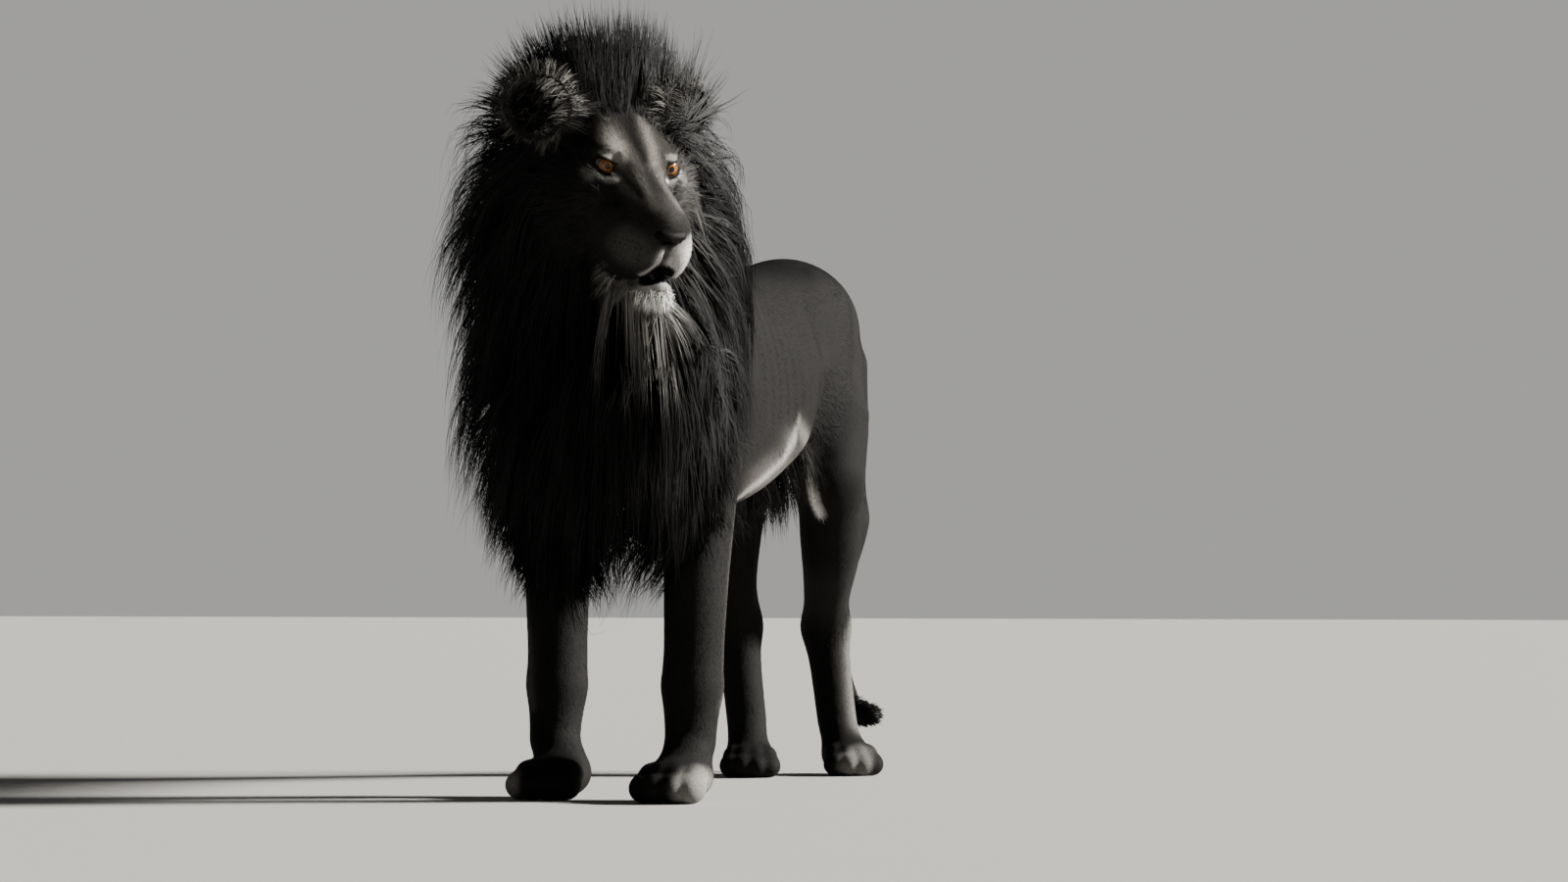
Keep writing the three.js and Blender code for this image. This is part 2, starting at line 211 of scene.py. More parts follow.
# Each leg's joints, as (outward, back); the right ones are made on the left and mirrored.
FORE_LEFT = dict(foot=(137, -550), wrist=(136, -478), elbow=(134, -428), toe_out=0)
FORE_RIGHT = dict(foot=(119, -490), wrist=(146, -422), elbow=(160, -388), toe_out=2)
HIND_LEFT = dict(foot=(74, 628), hock=(20, 696), knee=(110, 420), toe_out=30)
HIND_RIGHT = dict(foot=(84, 490), hock=(128, 563), knee=(106, 340), toe_out=-18)
FOREPAW = dict(half_width=60, half_length=90, half_height=42, toe=26)
HINDPAW = dict(half_width=52, half_length=80, half_height=37, toe=23)
TOE_SPREAD = (-0.74, -0.27, 0.27, 0.74)  # across the paw, in half widths
EYES_MID = np.array((100.0, -692.0, 1124.0))  # the point between the two eyes
HEAD_YAW = 46.5  # degrees, towards the lion's left
HEAD_PITCH = 25.0  # degrees, nose down
MUZZLE_BEND = 14.0  # how far the nose leans to the head's left
BEND_REACH = (30.0, 160.0)  # forward of the eyes, where the lean begins and is full
EYE = dict(across=62.0, forward=7.0, up=7.0, radius=20.0)
BODY_VOXEL = 10.0
FEET_TOP = 92.0
SIDES = (("left", 1), ("right", -1))

HEAD_TURN = np.array(Euler((math.radians(HEAD_PITCH), 0, math.radians(HEAD_YAW)), "XYZ").to_matrix())


def unit(vectors):
    return vectors / (np.linalg.norm(vectors, axis=-1, keepdims=True) + 1e-9)


def smooth(values, low, high):
    """0 at low and 1 at high, smooth between them."""
    t = np.clip((values - low) / (high - low), 0.0, 1.0)
    return t * t * (3.0 - 2.0 * t)


def bent(h, way):
    """Adds the muzzle's lean to points in the head's frame, or takes it away where the way is -1."""
    lean = way * MUZZLE_BEND * smooth(-h[..., 1], *BEND_REACH)
    return h + lean[..., None] * np.array((1.0, 0.0, 0.0))


def to_head(points):
    """From the body's frame to the head's: origin between the eyes, +X its left, -Y along the muzzle."""
    return bent((points - EYES_MID) @ HEAD_TURN, -1)


def from_head(points):
    return bent(np.asarray(points, float), 1) @ HEAD_TURN.T + EYES_MID


class Ball:
    def __init__(self, at, radii, turn=(0, 0, 0)):
        self.at, self.radii, self.turn = np.array(at, float), np.array(radii, float), turn
        self.spin = np.array(Euler([math.radians(a) for a in turn], "XYZ").to_matrix())

    def distance(self, points):
        near = ((points - self.at) @ self.spin) / self.radii
        k0 = np.linalg.norm(near, axis=1)
        k1 = np.linalg.norm(near / self.radii, axis=1) + 1e-9
        return k0 * (k0 - 1.0) / k1

    def mirrored(self):
        x, y, z = self.turn
        return Ball(self.at * (-1, 1, 1), self.radii, (x, -y, -z))

    def shape(self, mesh, place):
        stretch = Matrix.Diagonal((*self.radii, 1.0))
        spin = Matrix([list(row) for row in self.spin]).to_4x4()
        matrix = place @ Matrix.Translation(self.at) @ spin @ stretch
        bmesh.ops.create_icosphere(mesh, subdivisions=3, radius=1.0, matrix=matrix)


class Limb:
    """A chain of tapered rods through points (x, y, z, radius)."""

    def __init__(self, *points):
        self.points = np.array(points, float)

    def distance(self, points):
        best = np.full(len(points), 1e9)
        for (*a, ra), (*b, rb) in zip(self.points[:-1], self.points[1:]):
            way = np.subtract(b, a)
            t = np.clip((points - a) @ way / (way @ way), 0.0, 1.0)
            away = np.linalg.norm(points - a - t[:, None] * way, axis=1)
            best = np.minimum(best, away - (ra + t * (rb - ra)))
        return best

    def mirrored(self):
        return Limb(*(self.points * (-1, 1, 1, 1)))

    def shape(self, mesh, place):
        for x, y, z, radius in self.points:
            matrix = place @ Matrix.Translation((x, y, z))
            bmesh.ops.create_icosphere(mesh, subdivisions=3, radius=radius, matrix=matrix)
        for (*a, ra), (*b, rb) in zip(self.points[:-1], self.points[1:]):
            way = Vector(b) - Vector(a)
            turn = way.to_track_quat("Z", "Y").to_matrix().to_4x4()
            matrix = place @ Matrix.Translation((Vector(a) + Vector(b)) / 2) @ turn
            bmesh.ops.create_cone(mesh, cap_ends=True, segments=24, radius1=ra, radius2=rb, depth=way.length,
                                  matrix=matrix)


class Group:
    """A smooth union of forms, which may be in the head's frame."""

    def __init__(self, forms, blend, in_head=False):
        self.forms, self.blend, self.in_head = forms, blend, in_head

    def distance(self, points):
        local = to_head(points) if self.in_head else points
        each = np.stack([form.distance(local) for form in self.forms])
        least = each.min(axis=0)
        return least - self.blend * np.log(np.exp((least - each) / self.blend).sum(axis=0))

    def shape(self, mesh, place=Matrix.Identity(4)):
        if self.in_head:
            turn = Matrix([list(row) for row in HEAD_TURN]).to_4x4()
            place = place @ Matrix.Translation(EYES_MID) @ turn
        for form in self.forms:
            form.shape(mesh, place)


def pair(form):
    return [form, form.mirrored()]


TRUNK = Group([
    Ball((0, -190, 785), (168, 330, 240), (4, 0, 0)),  # rib cage
    Ball((0, -320, 930), (95, 200, 105)),  # withers
    Ball((0, 130, 795), (156, 330, 176), (5, 0, 0)),  # belly
    *pair(Ball((62, -30, 640), (80, 300, 80), (12, 0, 0))),  # loose skin along the belly
    Ball((0, 300, 908), (106, 300, 98)),  # loin
    Ball((0, 500, 913), (116, 210, 128)),  # pelvis
    Ball((0, 625, 886), (86, 110, 112)),  # rump
], 30)
NECK = Group([
    Limb((-12, -578, 1120, 112), (-12, -500, 1030, 150), (-4, -370, 900, 175)),
    Ball((-14, -450, 760), (178, 125, 190)),  # breast
], 30)


def paw(px, py, size, toe_out):
    turn = math.radians(toe_out)
    width, length, height, toe = (size[k] for k in ("half_width", "half_length", "half_height", "toe"))
    heel = py + 0.3 * length

    def turned(x, y):
        return (px + x * math.cos(turn) - (y - heel) * math.sin(turn),
                heel + x * math.sin(turn) + (y - heel) * math.cos(turn))

    forms = [Ball((*turned(0, py + 4), height), (width - 6, length - 8, height), (0, 0, toe_out))]
    for s in TOE_SPREAD:
        at = turned(s * width, py - length * (0.86 - 0.28 * s * s))
        forms.append(Ball((*at, toe * 1.02), (toe, toe * 1.35, toe * 1.02), (0, 0, toe_out)))
        knuckle = turned(s * width * 0.92, py - length * (0.50 - 0.22 * s * s))
        forms.append(Ball((*knuckle, toe * 1.72), (toe * 0.82, toe * 1.25, toe * 0.95), (-14, 0, toe_out)))
    return Group(forms, 4)


def foreleg(foot, wrist, elbow, toe_out):
    (px, py), (wx, wy), (ex, ey) = foot, wrist, elbow
    forms = [
        Ball((120, ey + 50, 848), (56, 116, 174), (-18, 0, 0)),  # shoulder blade
        Limb((120, ey - 60, 760, 76), (ex - 4, ey + 12, 620, 66)),  # upper arm
        Limb((ex, ey - 10, 610, 62), ((ex + wx) / 2, (ey + wy) / 2 - 12, 410, 53), (wx, wy, 210, 48)),
        Limb((ex, ey + 30, 600, 60), (wx, wy + 22, 260, 40)),  # back of the forearm
        Limb((wx, wy, 200, 49), (wx, wy - 10, 105, 46), (px, py + 25, 62, 42)),  # wrist and pastern
        Ball((wx, wy + 34, 175), (24, 26, 30)),  # carpal pad
    ]
    return [Group(forms, 12), paw(px, py, FOREPAW, toe_out)]


def hindleg(foot, hock, knee, toe_out):
    (px, py), (hx, hy), (kx, ky) = foot, hock, knee
    turn = math.radians(toe_out)
    heel = (px - 40 * math.sin(turn), py + 40 * math.cos(turn))
    middle = ((kx + hx) / 2, 0.45 * ky + 0.55 * hy, 430, 52)
    gaskin = (0.6 * kx + 0.4 * hx, 0.42 * ky + 0.58 * hy, 520)
    forms = [
        Ball((84, 470, 770), (66, 162, 208), (14, 0, 0)),  # thigh
        # hamstrings
        Limb((74, 565, 825, 56), (78, 560, 710, 62), ((kx + hx) / 2, 0.35 * ky + 0.65 * hy, 590, 50)),
        Limb((68, 655, 835, 50), (74, 634, 700, 50), ((kx + hx) / 2, 0.30 * ky + 0.70 * hy, 530, 42)),
        Limb((90, 460, 720, 88), (kx, ky - 5, 610, 64)),  # stifle
        Limb((kx, ky + 15, 600, 64), middle, (hx, hy - 10, 310, 40)),
        Ball(gaskin, (44, 78, 112), (22, 0, 0)),  # calf
        Limb((0.7 * kx + 0.3 * hx, 0.3 * ky + 0.7 * hy, 520, 46), (hx, hy + 14, 350, 28)),  # heel tendon
        Ball((hx, hy + 22, 305), (26, 28, 38)),  # point of the hock
        Limb((hx, hy, 290, 42), (*heel, 110, 40), (px, py + 10, 55, 37)),  # cannon
    ]
    return [Group(forms, 15), paw(px, py, HINDPAW, toe_out)]


def legs(make, left, right):
    mirrored = [Group([form.mirrored() for form in group.forms], group.blend) for group in make(**right)]
    return make(**left) + mirrored


FORELEGS = legs(foreleg, FORE_LEFT, FORE_RIGHT)
HINDLEGS = legs(hindleg, HIND_LEFT, HIND_RIGHT)
TAIL_LINE = ((0, 690, 945), (0, 775, 890), (0, 815, 740), (2, 822, 540), (8, 812, 340), (25, 800, 200),
             (50, 795, 135))
TAIL = Group([
    Limb(*[(x, y, z, 27 - 2.2 * i) for i, (x, y, z) in enumerate(TAIL_LINE)]),
    Ball((74, 790, 118), (30, 20, 21)),
], 8)

SKULL = Group([
    Ball((0, 105, 2), (92, 105, 78)),  # cranium
    Ball((0, 25, 8), (76, 70, 40)),  # forehead
    *pair(Ball((52, 12, 21), (30, 34, 19), (0, 0, -14))),  # brows
    Limb((0, 10, -2, 37), (0, -60, -30, 33), (0, -132, -59, 33)),  # bridge of the nose
    *pair(Limb((19, -20, -6, 19), (24, -132, -60, 19))),  # flat sides of the bridge
    Ball((0, -108, -88), (42, 50, 38)),  # muzzle
    *pair(Ball((27, -120, -99), (29, 42, 34))),  # whisker pads
    *pair(Ball((31, -107, -125), (26, 42, 35), (10, 0, 0))),  # upper lips
    *pair(Ball((40, -66, -138), (25, 48, 42), (6, 0, 0))),  # hanging lips
    *pair(Ball((84, 44, -50), (40, 76, 64))),  # cheeks
    *pair(Ball((60, 4, -50), (37, 52, 34))),  # below the eyes
    *pair(Ball((52, -44, -92), (36, 62, 44))),  # corners of the mouth
    *pair(Ball((64, 22, -112), (38, 66, 54))),  # jaw muscles
    Ball((0, 75, -95), (83, 88, 56)),  # throat
    *pair(Limb((84, 118, 38, 34), (122, 116, 44, 27))),  # roots of the ears
], 9, in_head=True)
JAW = Group([
    Ball((14, -114, -177), (29, 35, 29)),  # chin
    Limb((0, -90, -164, 33), (0, 0, -146, 52)),
], 10, in_head=True)
HEAD = Group([SKULL, JAW], 3)
BODY = Group([TRUNK, NECK, *FORELEGS, *HINDLEGS, TAIL], 10)
LION = Group([BODY, HEAD], 12)
PROBE = np.array(((1, 1, 1), (1, -1, -1), (-1, 1, -1), (-1, -1, 1)), float)


def measure(form, points, reach=0.8):
    """The distance to a form, and the way in which it grows."""
    value = np.zeros(len(points))
    slope = np.zeros_like(points)
    for probe in PROBE:
        near = form.distance(points + reach * probe)
        value += near / len(PROBE)
        slope += near[:, None] * probe
    return value, slope / (len(PROBE) * reach)


def settle(points, form, rounds):
    """Moves points straight on to the surface of a form."""
    for _ in range(rounds):
        value, slope = measure(form, points)
        steepness = np.maximum((slope ** 2).sum(axis=1), 0.25)
        points = points - np.clip(value / steepness, -12, 12)[:, None] * slope
    return points


def corners(mesh):
    flat = np.empty(len(mesh.vertices) * 3, np.float32)
    mesh.vertices.foreach_get("co", flat)
    return flat.reshape(-1, 3).astype(float)


def set_corners(mesh, points):
    mesh.vertices.foreach_set("co", np.asarray(points, np.float32).ravel())
    mesh.update()


def remeshed(group, voxel):
    """The outside of a group's forms, as one even closed mesh."""
    rough = bmesh.new()
    group.shape(rough)
    mesh = bpy.data.meshes.new("rough")
    rough.to_mesh(mesh)
    rough.free()
    piece = bpy.data.objects.new("rough", mesh)
    bpy.context.collection.objects.link(piece)
    cover = piece.modifiers.new("cover", "REMESH")
    cover.mode = "VOXEL"
    cover.voxel_size = voxel
    bpy.context.view_layer.update()
    made = bpy.data.meshes.new_from_object(piece.evaluated_get(bpy.context.evaluated_depsgraph_get()))
    bpy.data.objects.remove(piece)
    return made


def refine(mesh, wanted):
    """Halves the edges whose ends are both wanted."""
    chosen = wanted(corners(mesh))
    shape = bmesh.new()
    shape.from_mesh(mesh)
    shape.verts.ensure_lookup_table()
    edges = [e for e in shape.edges if chosen[e.verts[0].index] and chosen[e.verts[1].index]]
    bmesh.ops.subdivide_edges(shape, edges=edges, cuts=1, use_grid_fill=True)
    shape.to_mesh(mesh)
    shape.free()


def relax(mesh, rounds, factor=0.5):
    shape = bmesh.new()
    shape.from_mesh(mesh)
    for _ in range(rounds):
        bmesh.ops.smooth_vert(shape, verts=shape.verts, factor=factor, use_axis_x=True, use_axis_y=True,
                              use_axis_z=True)
    shape.to_mesh(mesh)
    shape.free()


def face_part(points):
    h = to_head(points)
    return (h[:, 1] < 110) & (h[:, 1] > -200) & (np.abs(h[:, 0]) < 135) & (h[:, 2] > -215) & (h[:, 2] < 110)


def near_eyes(h, across, up):
    beside = np.abs(np.abs(h[:, 0]) - EYE["across"])
    return (beside < across) & (np.abs(h[:, 2] - EYE["up"]) < up)


def face_core(points):
    h = to_head(points)
    muzzle = (h[:, 1] < -40) & (h[:, 2] > -200) & (np.abs(h[:, 0]) < 95)
    eyes = near_eyes(h, 36, 32) & (h[:, 1] < 20)
    return face_part(points) & (muzzle | eyes)


def lids_and_lips(points):
    h = to_head(points)
    eyes = near_eyes(h, 29, 24) & (h[:, 1] < 8)
    lips_and_mouth_shade = (np.abs(h[:, 0]) < 34) & (h[:, 1] < -118) & (h[:, 2] < -78) & (h[:, 2] > -172)
    return eyes | lips_and_mouth_shade


def face_and_feet(points):
    return face_part(points) | (points[:, 2] < FEET_TOP)


skin_mesh = remeshed(LION, BODY_VOXEL)
for refined in (face_and_feet, face_core, lids_and_lips):
    set_corners(skin_mesh, settle(corners(skin_mesh), LION, 3))
    relax(skin_mesh, 1)
    refine(skin_mesh, refined)
set_corners(skin_mesh, settle(corners(skin_mesh), LION, 3))
relax(skin_mesh, 2)
skin_points = settle(corners(skin_mesh), LION, 3)


# Folds and openings of the skin: each is a line in the head's or the body's frame, with its depth and
# half width, that pushes the skin in, or out where the depth is negative.
MOUTH_CORNER = -34  # millimetres forward of the eyes, where the lips end
LIP_DROP = 5.0  # how far the opening lies below the upper lip's edge
TEAR_LINE = ((40, -44, 2), (34, -66, -8), (30, -86, -18))
BROW_FURROW = ((0, 60, 70), (0, -20, 30))
UNDER_EYE = ((84, -8, -16), (70, -30, -24), (46, -44, -20))
WHISKER_ROWS = 4
BODY_FOLDS = (
    # line, how far the skin moves out, half width; on both sides
    (((168, -275, 800), (172, -225, 720), (160, -205, 640)), -7.0, 12.0),  # behind the elbow
    (((150, 270, 760), (142, 330, 700), (128, 350, 640)), -5.0, 22.0),  # before the thigh
    (((150, -40, 650), (140, 120, 655), (110, 300, 690)), 5.0, 26.0),  # edge of the belly
    (((150, -290, 980), (170, -262, 880), (172, -250, 780)), -5.0, 20.0),  # behind the shoulder
    (((178, -392, 760), (172, -350, 690), (160, -330, 620)), -4.0, 15.0),  # across the upper arm
    (((120, 540, 930), (146, 450, 800), (132, 385, 680)), -4.0, 22.0),  # along the thigh
    (((118, 590, 860), (128, 548, 720), (108, 540, 580)), -6.0, 18.0),  # before the hamstrings
)
RIBS = (-170, -118, -66, -14, 38, 90)
RIB_DEPTH = 0.7


def on_skin(line):
    """A line in the head's frame, made finer and moved on to the skin."""
    at = np.linspace(0, len(line) - 1, 4 * (len(line) - 1) + 1)
    fine = np.stack([np.interp(at, range(len(line)), axis) for axis in np.transpose(line)], axis=1)
    return to_head(settle(from_head(fine), HEAD, 8))


PHILTRUM = on_skin(((-4, -176, -90), (-3, -172, -104), (0, -162, -126)))


def folded(points):
    """The points, with the right side laid over the left."""
    return np.column_stack([np.abs(points[:, 0]), points[:, 1:]])


def line_distance(points, line, both_sides=False):
    spots = folded(points) if both_sides else points
    return Limb(*[(x, y, z, 0.0) for x, y, z in line]).distance(spots)


def bell(values, width):
    return np.exp(-((values / width) ** 2))


def near_ball(points, at, radii, both_sides=False):
    """1 at the middle of an ellipsoid, fading to 0 a little outside it."""
    spots = folded(points) if both_sides else points
    return 1.0 - smooth(np.linalg.norm((spots - at) / radii, axis=1), 0.55, 1.25)


def lip_line(h, width):
    """1 where the upper lips meet the jaw, as far back as the corners of the mouth."""
    at = from_head(h)
    meet = SKULL.distance(at) - JAW.distance(at) - LIP_DROP
    return bell(meet, width) * smooth(h[:, 1], MOUTH_CORNER, MOUTH_CORNER - 24) * smooth(h[:, 2], -90, -112)


def face_folds(h):
    """How far the skin of the head moves out, in millimetres."""
    out = -11.0 * lip_line(h, 6.0)
    out += 2.2 * bell(SKULL.distance(from_head(h)) - JAW.distance(from_head(h)) + 10, 7.0) * lip_line(h, 40.0)
    out -= 12.0 * near_ball(h, (5, -146, -143), (20, 26, 16))  # gap between the lips
    out -= 7.0 * near_ball(h, (-10, -134, -156), (20, 22, 12))
    out -= 7.0 * bell(line_distance(h, PHILTRUM), 3.8)
    out -= 2.6 * bell(line_distance(h, TEAR_LINE, True), 5.0)
    out -= 3.0 * bell(line_distance(h, BROW_FURROW), 9.0)
    out -= 3.5 * near_ball(h, (58, -52, -34), (16, 34, 16), True)  # hollow beside the bridge
    out += 3.0 * near_ball(h, (56, 2, 32), (26, 20, 10), True)  # brow above the lid
    out -= 2.5 * bell(line_distance(h, UNDER_EYE, True), 4.5)
    for row in range(WHISKER_ROWS):
        line = [(46 + 5 * row, -140 + 14 * row, -84 - 12 * row), (66, -92 + 6 * row, -92 - 10 * row)]
        out += 0.8 * bell(line_distance(h, line, True), 3.0)
    return out


def body_folds(p):
    """How far the skin of the body moves out, in millimetres."""
    out = np.zeros(len(p))
    for line, depth, width in BODY_FOLDS:
        out += depth * bell(line_distance(p, line, True), width)
    out += 7.0 * near_ball(p, (92, 430, 995), (46, 60, 34), True)  # hip bone
    out -= 6.0 * near_ball(p, (110, 300, 880), (50, 90, 70), True)  # hollow before the hip
    for rib in RIBS:
        line = ((150, rib - 30, 930), (168, rib, 830), (160, rib + 34, 700))
        out -= RIB_DEPTH * bell(line_distance(p, line, True), 11.0)
    return out


skin_head = to_head(skin_points)
near_head = (face_part(skin_points) & (HEAD.distance(skin_points) < 6)).astype(float)
shift = near_head * face_folds(skin_head) + body_folds(skin_points)
skin_slope = unit(measure(LION, skin_points)[1])
skin_points = skin_points + shift[:, None] * skin_slope

# The lids: the skin bulges over each eyeball, and inside the opening it lies just behind the ball.
LID = dict(thickness=3.4, half_width=19.0, above=8.5, below=12.0, behind=1.5)
EYE_FACES = np.array((0.26, -0.95, -0.02))  # the way the left eye's opening faces, in the head's frame
EYE_LEVEL = np.array((0.93, 0.25, 0.20))  # from its inner corner to its outer one


def eye_frame(side):
    """The middle of an eyeball, and the axes of its opening: outward, across and up."""
    mirror = np.array((side, 1, 1))
    ahead = unit(EYE_FACES * mirror)
    across = EYE_LEVEL * mirror
    across = unit(across - across @ ahead * ahead)
    up = np.cross(across, ahead) * side
    return np.array((side * EYE["across"], -EYE["forward"], EYE["up"])), ahead, across, up


def opening(across, up):
    """Below 1 inside an almond whose inner corner points down to the nose."""
    level = up + 0.10 * across + 2.0 * smooth(-across, 8.0, 20.0)
    height = np.where(level > 0, LID["above"], LID["below"])
    return np.abs(across / LID["half_width"]) ** 2.2 + np.abs(level / height) ** 2


def eye_view(h, side):
    """Points in the head's frame as an eye sees them: how far off, ahead and up they are, and the value
    of its opening there."""
    middle, ahead, across, up = eye_frame(side)
    away = h - middle
    way = unit(away)
    inside = opening(way @ across * EYE["radius"], way @ up * EYE["radius"])
    return np.linalg.norm(away, axis=1), way @ ahead, way @ up, inside


skin_head = to_head(skin_points)
for _, side in SIDES:
    middle, ahead, across, up = eye_frame(side)
    away = skin_head - middle
    reach = np.linalg.norm(away, axis=1)
    way = away / reach[:, None]
    front = way @ ahead > 0.25
    lid_at = EYE["radius"] + LID["thickness"]
    x, z = way @ across * EYE["radius"], way @ up * EYE["radius"]
    inside = opening(x, z)
    rim = front & (reach < lid_at + 14) & (inside < 3.6)
    fade = smooth(inside, 3.6, 1.6)
    heavy = lid_at + 2.2 * bell(z - LID["above"] - 2, 5.0)
    bulged = reach + fade * np.clip(heavy - reach, -9.0, 9.0)
    wanted = np.where(inside < 1.0, EYE["radius"] - LID["behind"], bulged)
    skin_head[rim] = middle + way[rim] * wanted[rim, None]
skin_points = from_head(skin_head)
skin_points[:, 2] = np.maximum(skin_points[:, 2], 0.6)
set_corners(skin_mesh, skin_points)

# The ears: round cups whose walls are folded from a ball, open to the front and a little outwards.
EAR = dict(across=144.0, shift=-8.0, back=116.0, up=64.0, width=64.0, height=60.0, depth=38.0, wall=7.0)
EAR_TURN = dict(back=12.0, out=26.0)  # degrees


def ear_place(side):
    """The middle of an ear's rim in the head's frame, and the turn of its axes there."""
    turn = Euler((math.radians(-EAR_TURN["back"]), 0, math.radians(side * EAR_TURN["out"])), "XYZ")
    across = side * EAR["across"] + EAR["shift"]
    return np.array((across, EAR["back"], EAR["up"])), np.array(turn.to_matrix())


def ear_cup(side):
    ball = bmesh.new()
    bmesh.ops.create_icosphere(ball, subdivisions=5, radius=1.0)
    mesh = bpy.data.meshes.new("ear")
    ball.to_mesh(mesh)
    ball.free()
    x, y, z = corners(mesh).T
    bowl = np.sqrt(np.maximum(1 - x * x - z * z, 0))
    depth = np.where(y > 0, EAR["depth"], EAR["depth"] - EAR["wall"]) * bowl
    depth += 2.5 * np.sign(y) * np.abs(y) ** 0.4 * (1 - bowl) - 10.0 * x * x
    narrow = 1 - 0.22 * smooth(-z, -0.2, 1.0)
    at, turn = ear_place(side)
    points = np.stack([x * narrow * EAR["width"], depth, z * EAR["height"]], axis=1)
    set_corners(mesh, from_head(points @ turn.T + at))
    return mesh


BODY_CORNERS = len(skin_mesh.vertices)
whole = bmesh.new()
whole.from_mesh(skin_mesh)
for _, side in SIDES:
    whole.from_mesh(ear_cup(side))
whole.to_mesh(skin_mesh)
whole.free()
skin_points = corners(skin_mesh)

# ---- The markings and painted light ----
# The colours of skin and coat are worked out from the same soft patches, each an ellipsoid or a line in
# the frame of the head or of the body: (place, reach, colour, strength, both sides). A few patches are
# painted light or shade, not the coat's own colour, and say so where they stand.
COAT_DARK = (0.0064, 0.0061, 0.0059)
FACE_GREY = (0.015, 0.0143, 0.0132)
HEAD_MARKS_AND_LIGHT = (
    ((0, 0, -50), (140, 190, 140), FACE_GREY, 1.0, False),
    ((40, 18, 56), (34, 60, 34), (0.034, 0.032, 0.029), 0.85, True),  # forehead
    ((30, -60, -10), (20, 80, 26), (0.075, 0.071, 0.064), 0.6, True),  # sides of the bridge
    ((0, -110, -36), (26, 60, 26), (0.030, 0.028, 0.026), 0.8, False),  # top of the muzzle
    ((64, -18, 29), (20, 16, 6), (0.20, 0.19, 0.17), 0.6, True),  # above the eye
    ((92, -14, -12), (15, 22, 13), (0.20, 0.19, 0.175), 0.6, True),  # outer corner
    ((82, 40, -60), (40, 70, 60), (0.022, 0.021, 0.019), 0.6, True),  # cheeks
    ((38, -118, -104), (40, 56, 40), (0.070, 0.067, 0.062), 0.8, True),  # whisker pads
    # painted highlight: the left whisker pad and upper lip are painted near white where the light falls on
    # them; the right side keeps the darker pad colour
    ((34, -126, -112), (42, 60, 46), (0.66, 0.65, 0.62), 0.95, "left"),
    ((14, -132, -188), (37, 42, 38), (0.88, 0.87, 0.84), 0.97, False),  # chin
    ((0, -60, -200), (52, 60, 50), (0.30, 0.29, 0.27), 0.7, False),  # under the jaw
)
HEAD_LINES_AND_LIGHT = (
    (((-46, 54, 62), (-45, 0, 46), (-44, -28, 29)), 17, (0.25, 0.236, 0.212), 0.85, False),  # right forehead
    (((30, 58, 68), (24, 0, 48), (15, -44, 25)), 12, (0.15, 0.141, 0.127), 0.85, False),  # left forehead
    (((20, -40, 30), (24, -80, -8), (22, -126, -34)), 12, (0.085, 0.080, 0.072), 0.6, True),  # bridge
    # midline of the forehead
    (((2, 90, 80), (-6, 39, 63), (-8, -6, 47), (-3, -42, 28)), 9, (0.0040, 0.0038, 0.0037), 0.95, False),
    (((42, -42, 4), (32, -70, -10), (27, -98, -26)), 6, (0.014, 0.013, 0.012), 0.9, True),  # tear line
    (((7, -166, -116), (18, -158, -132), (32, -144, -144)), 5, (0.60, 0.58, 0.55), 0.9, True),  # lips' edge
    # painted light: the right upper lip beside the philtrum is painted pale, as if light fell there on the
    # otherwise shaded side
    (((-9, -170, -100), (-12, -166, -114)), 9, (0.50, 0.48, 0.45), 0.85, False),  # beside the philtrum
    # crescent under the eye
    (((48, -41, -9), (62, -30, -13), (76, -23, -10), (85, -15, -2)), 4.5, (0.70, 0.68, 0.64), 0.95, True),
    (PHILTRUM, 4.4, (0.004, 0.0037, 0.0036), 1.0, False),
)
HEAD_LINES_AND_LIGHT = [(on_skin(line), *rest) for line, *rest in HEAD_LINES_AND_LIGHT]
# the black of the lips, also used as painted shade in the mouth
LIP_BLACK_AND_SHADE = (0.0050, 0.0045, 0.0045)
EAR_PALE = (0.056, 0.053, 0.049)
BODY_MARKS_AND_SHADE = (
    # darker along the ridge of the back: partly the coat's own colour, partly painted shade on the top of the
    # back
    ((0, 300, 1040), (120, 520, 90), (0.0026, 0.0025, 0.0025), 0.8, False),  # ridge of the back
    ((60, 590, 420), (70, 90, 160), (0.014, 0.0135, 0.013), 0.6, True),
    ((110, 70, 595), (66, 260, 72), (0.075, 0.071, 0.065), 0.8, True),  # pale belly
    # painted shade: the inside of each thigh is darker than the coat, where shade falls between the thighs
    # and under the belly
    ((60, 330, 560), (52, 90, 120), (0.0030, 0.0029, 0.0029), 0.8, True),  # inside of the thigh
    ((185, -600, 26), (34, 90, 42), (0.16, 0.155, 0.145), 0.7, True),  # outer edge of the fore paws
    ((126, 570, 24), (34, 110, 40), (0.12, 0.115, 0.11), 0.7, True),  # and of the hind paws
    ((78, 792, 118), (60, 44, 50), (0.006, 0.006, 0.006), 0.95, False),  # tail tuft
)
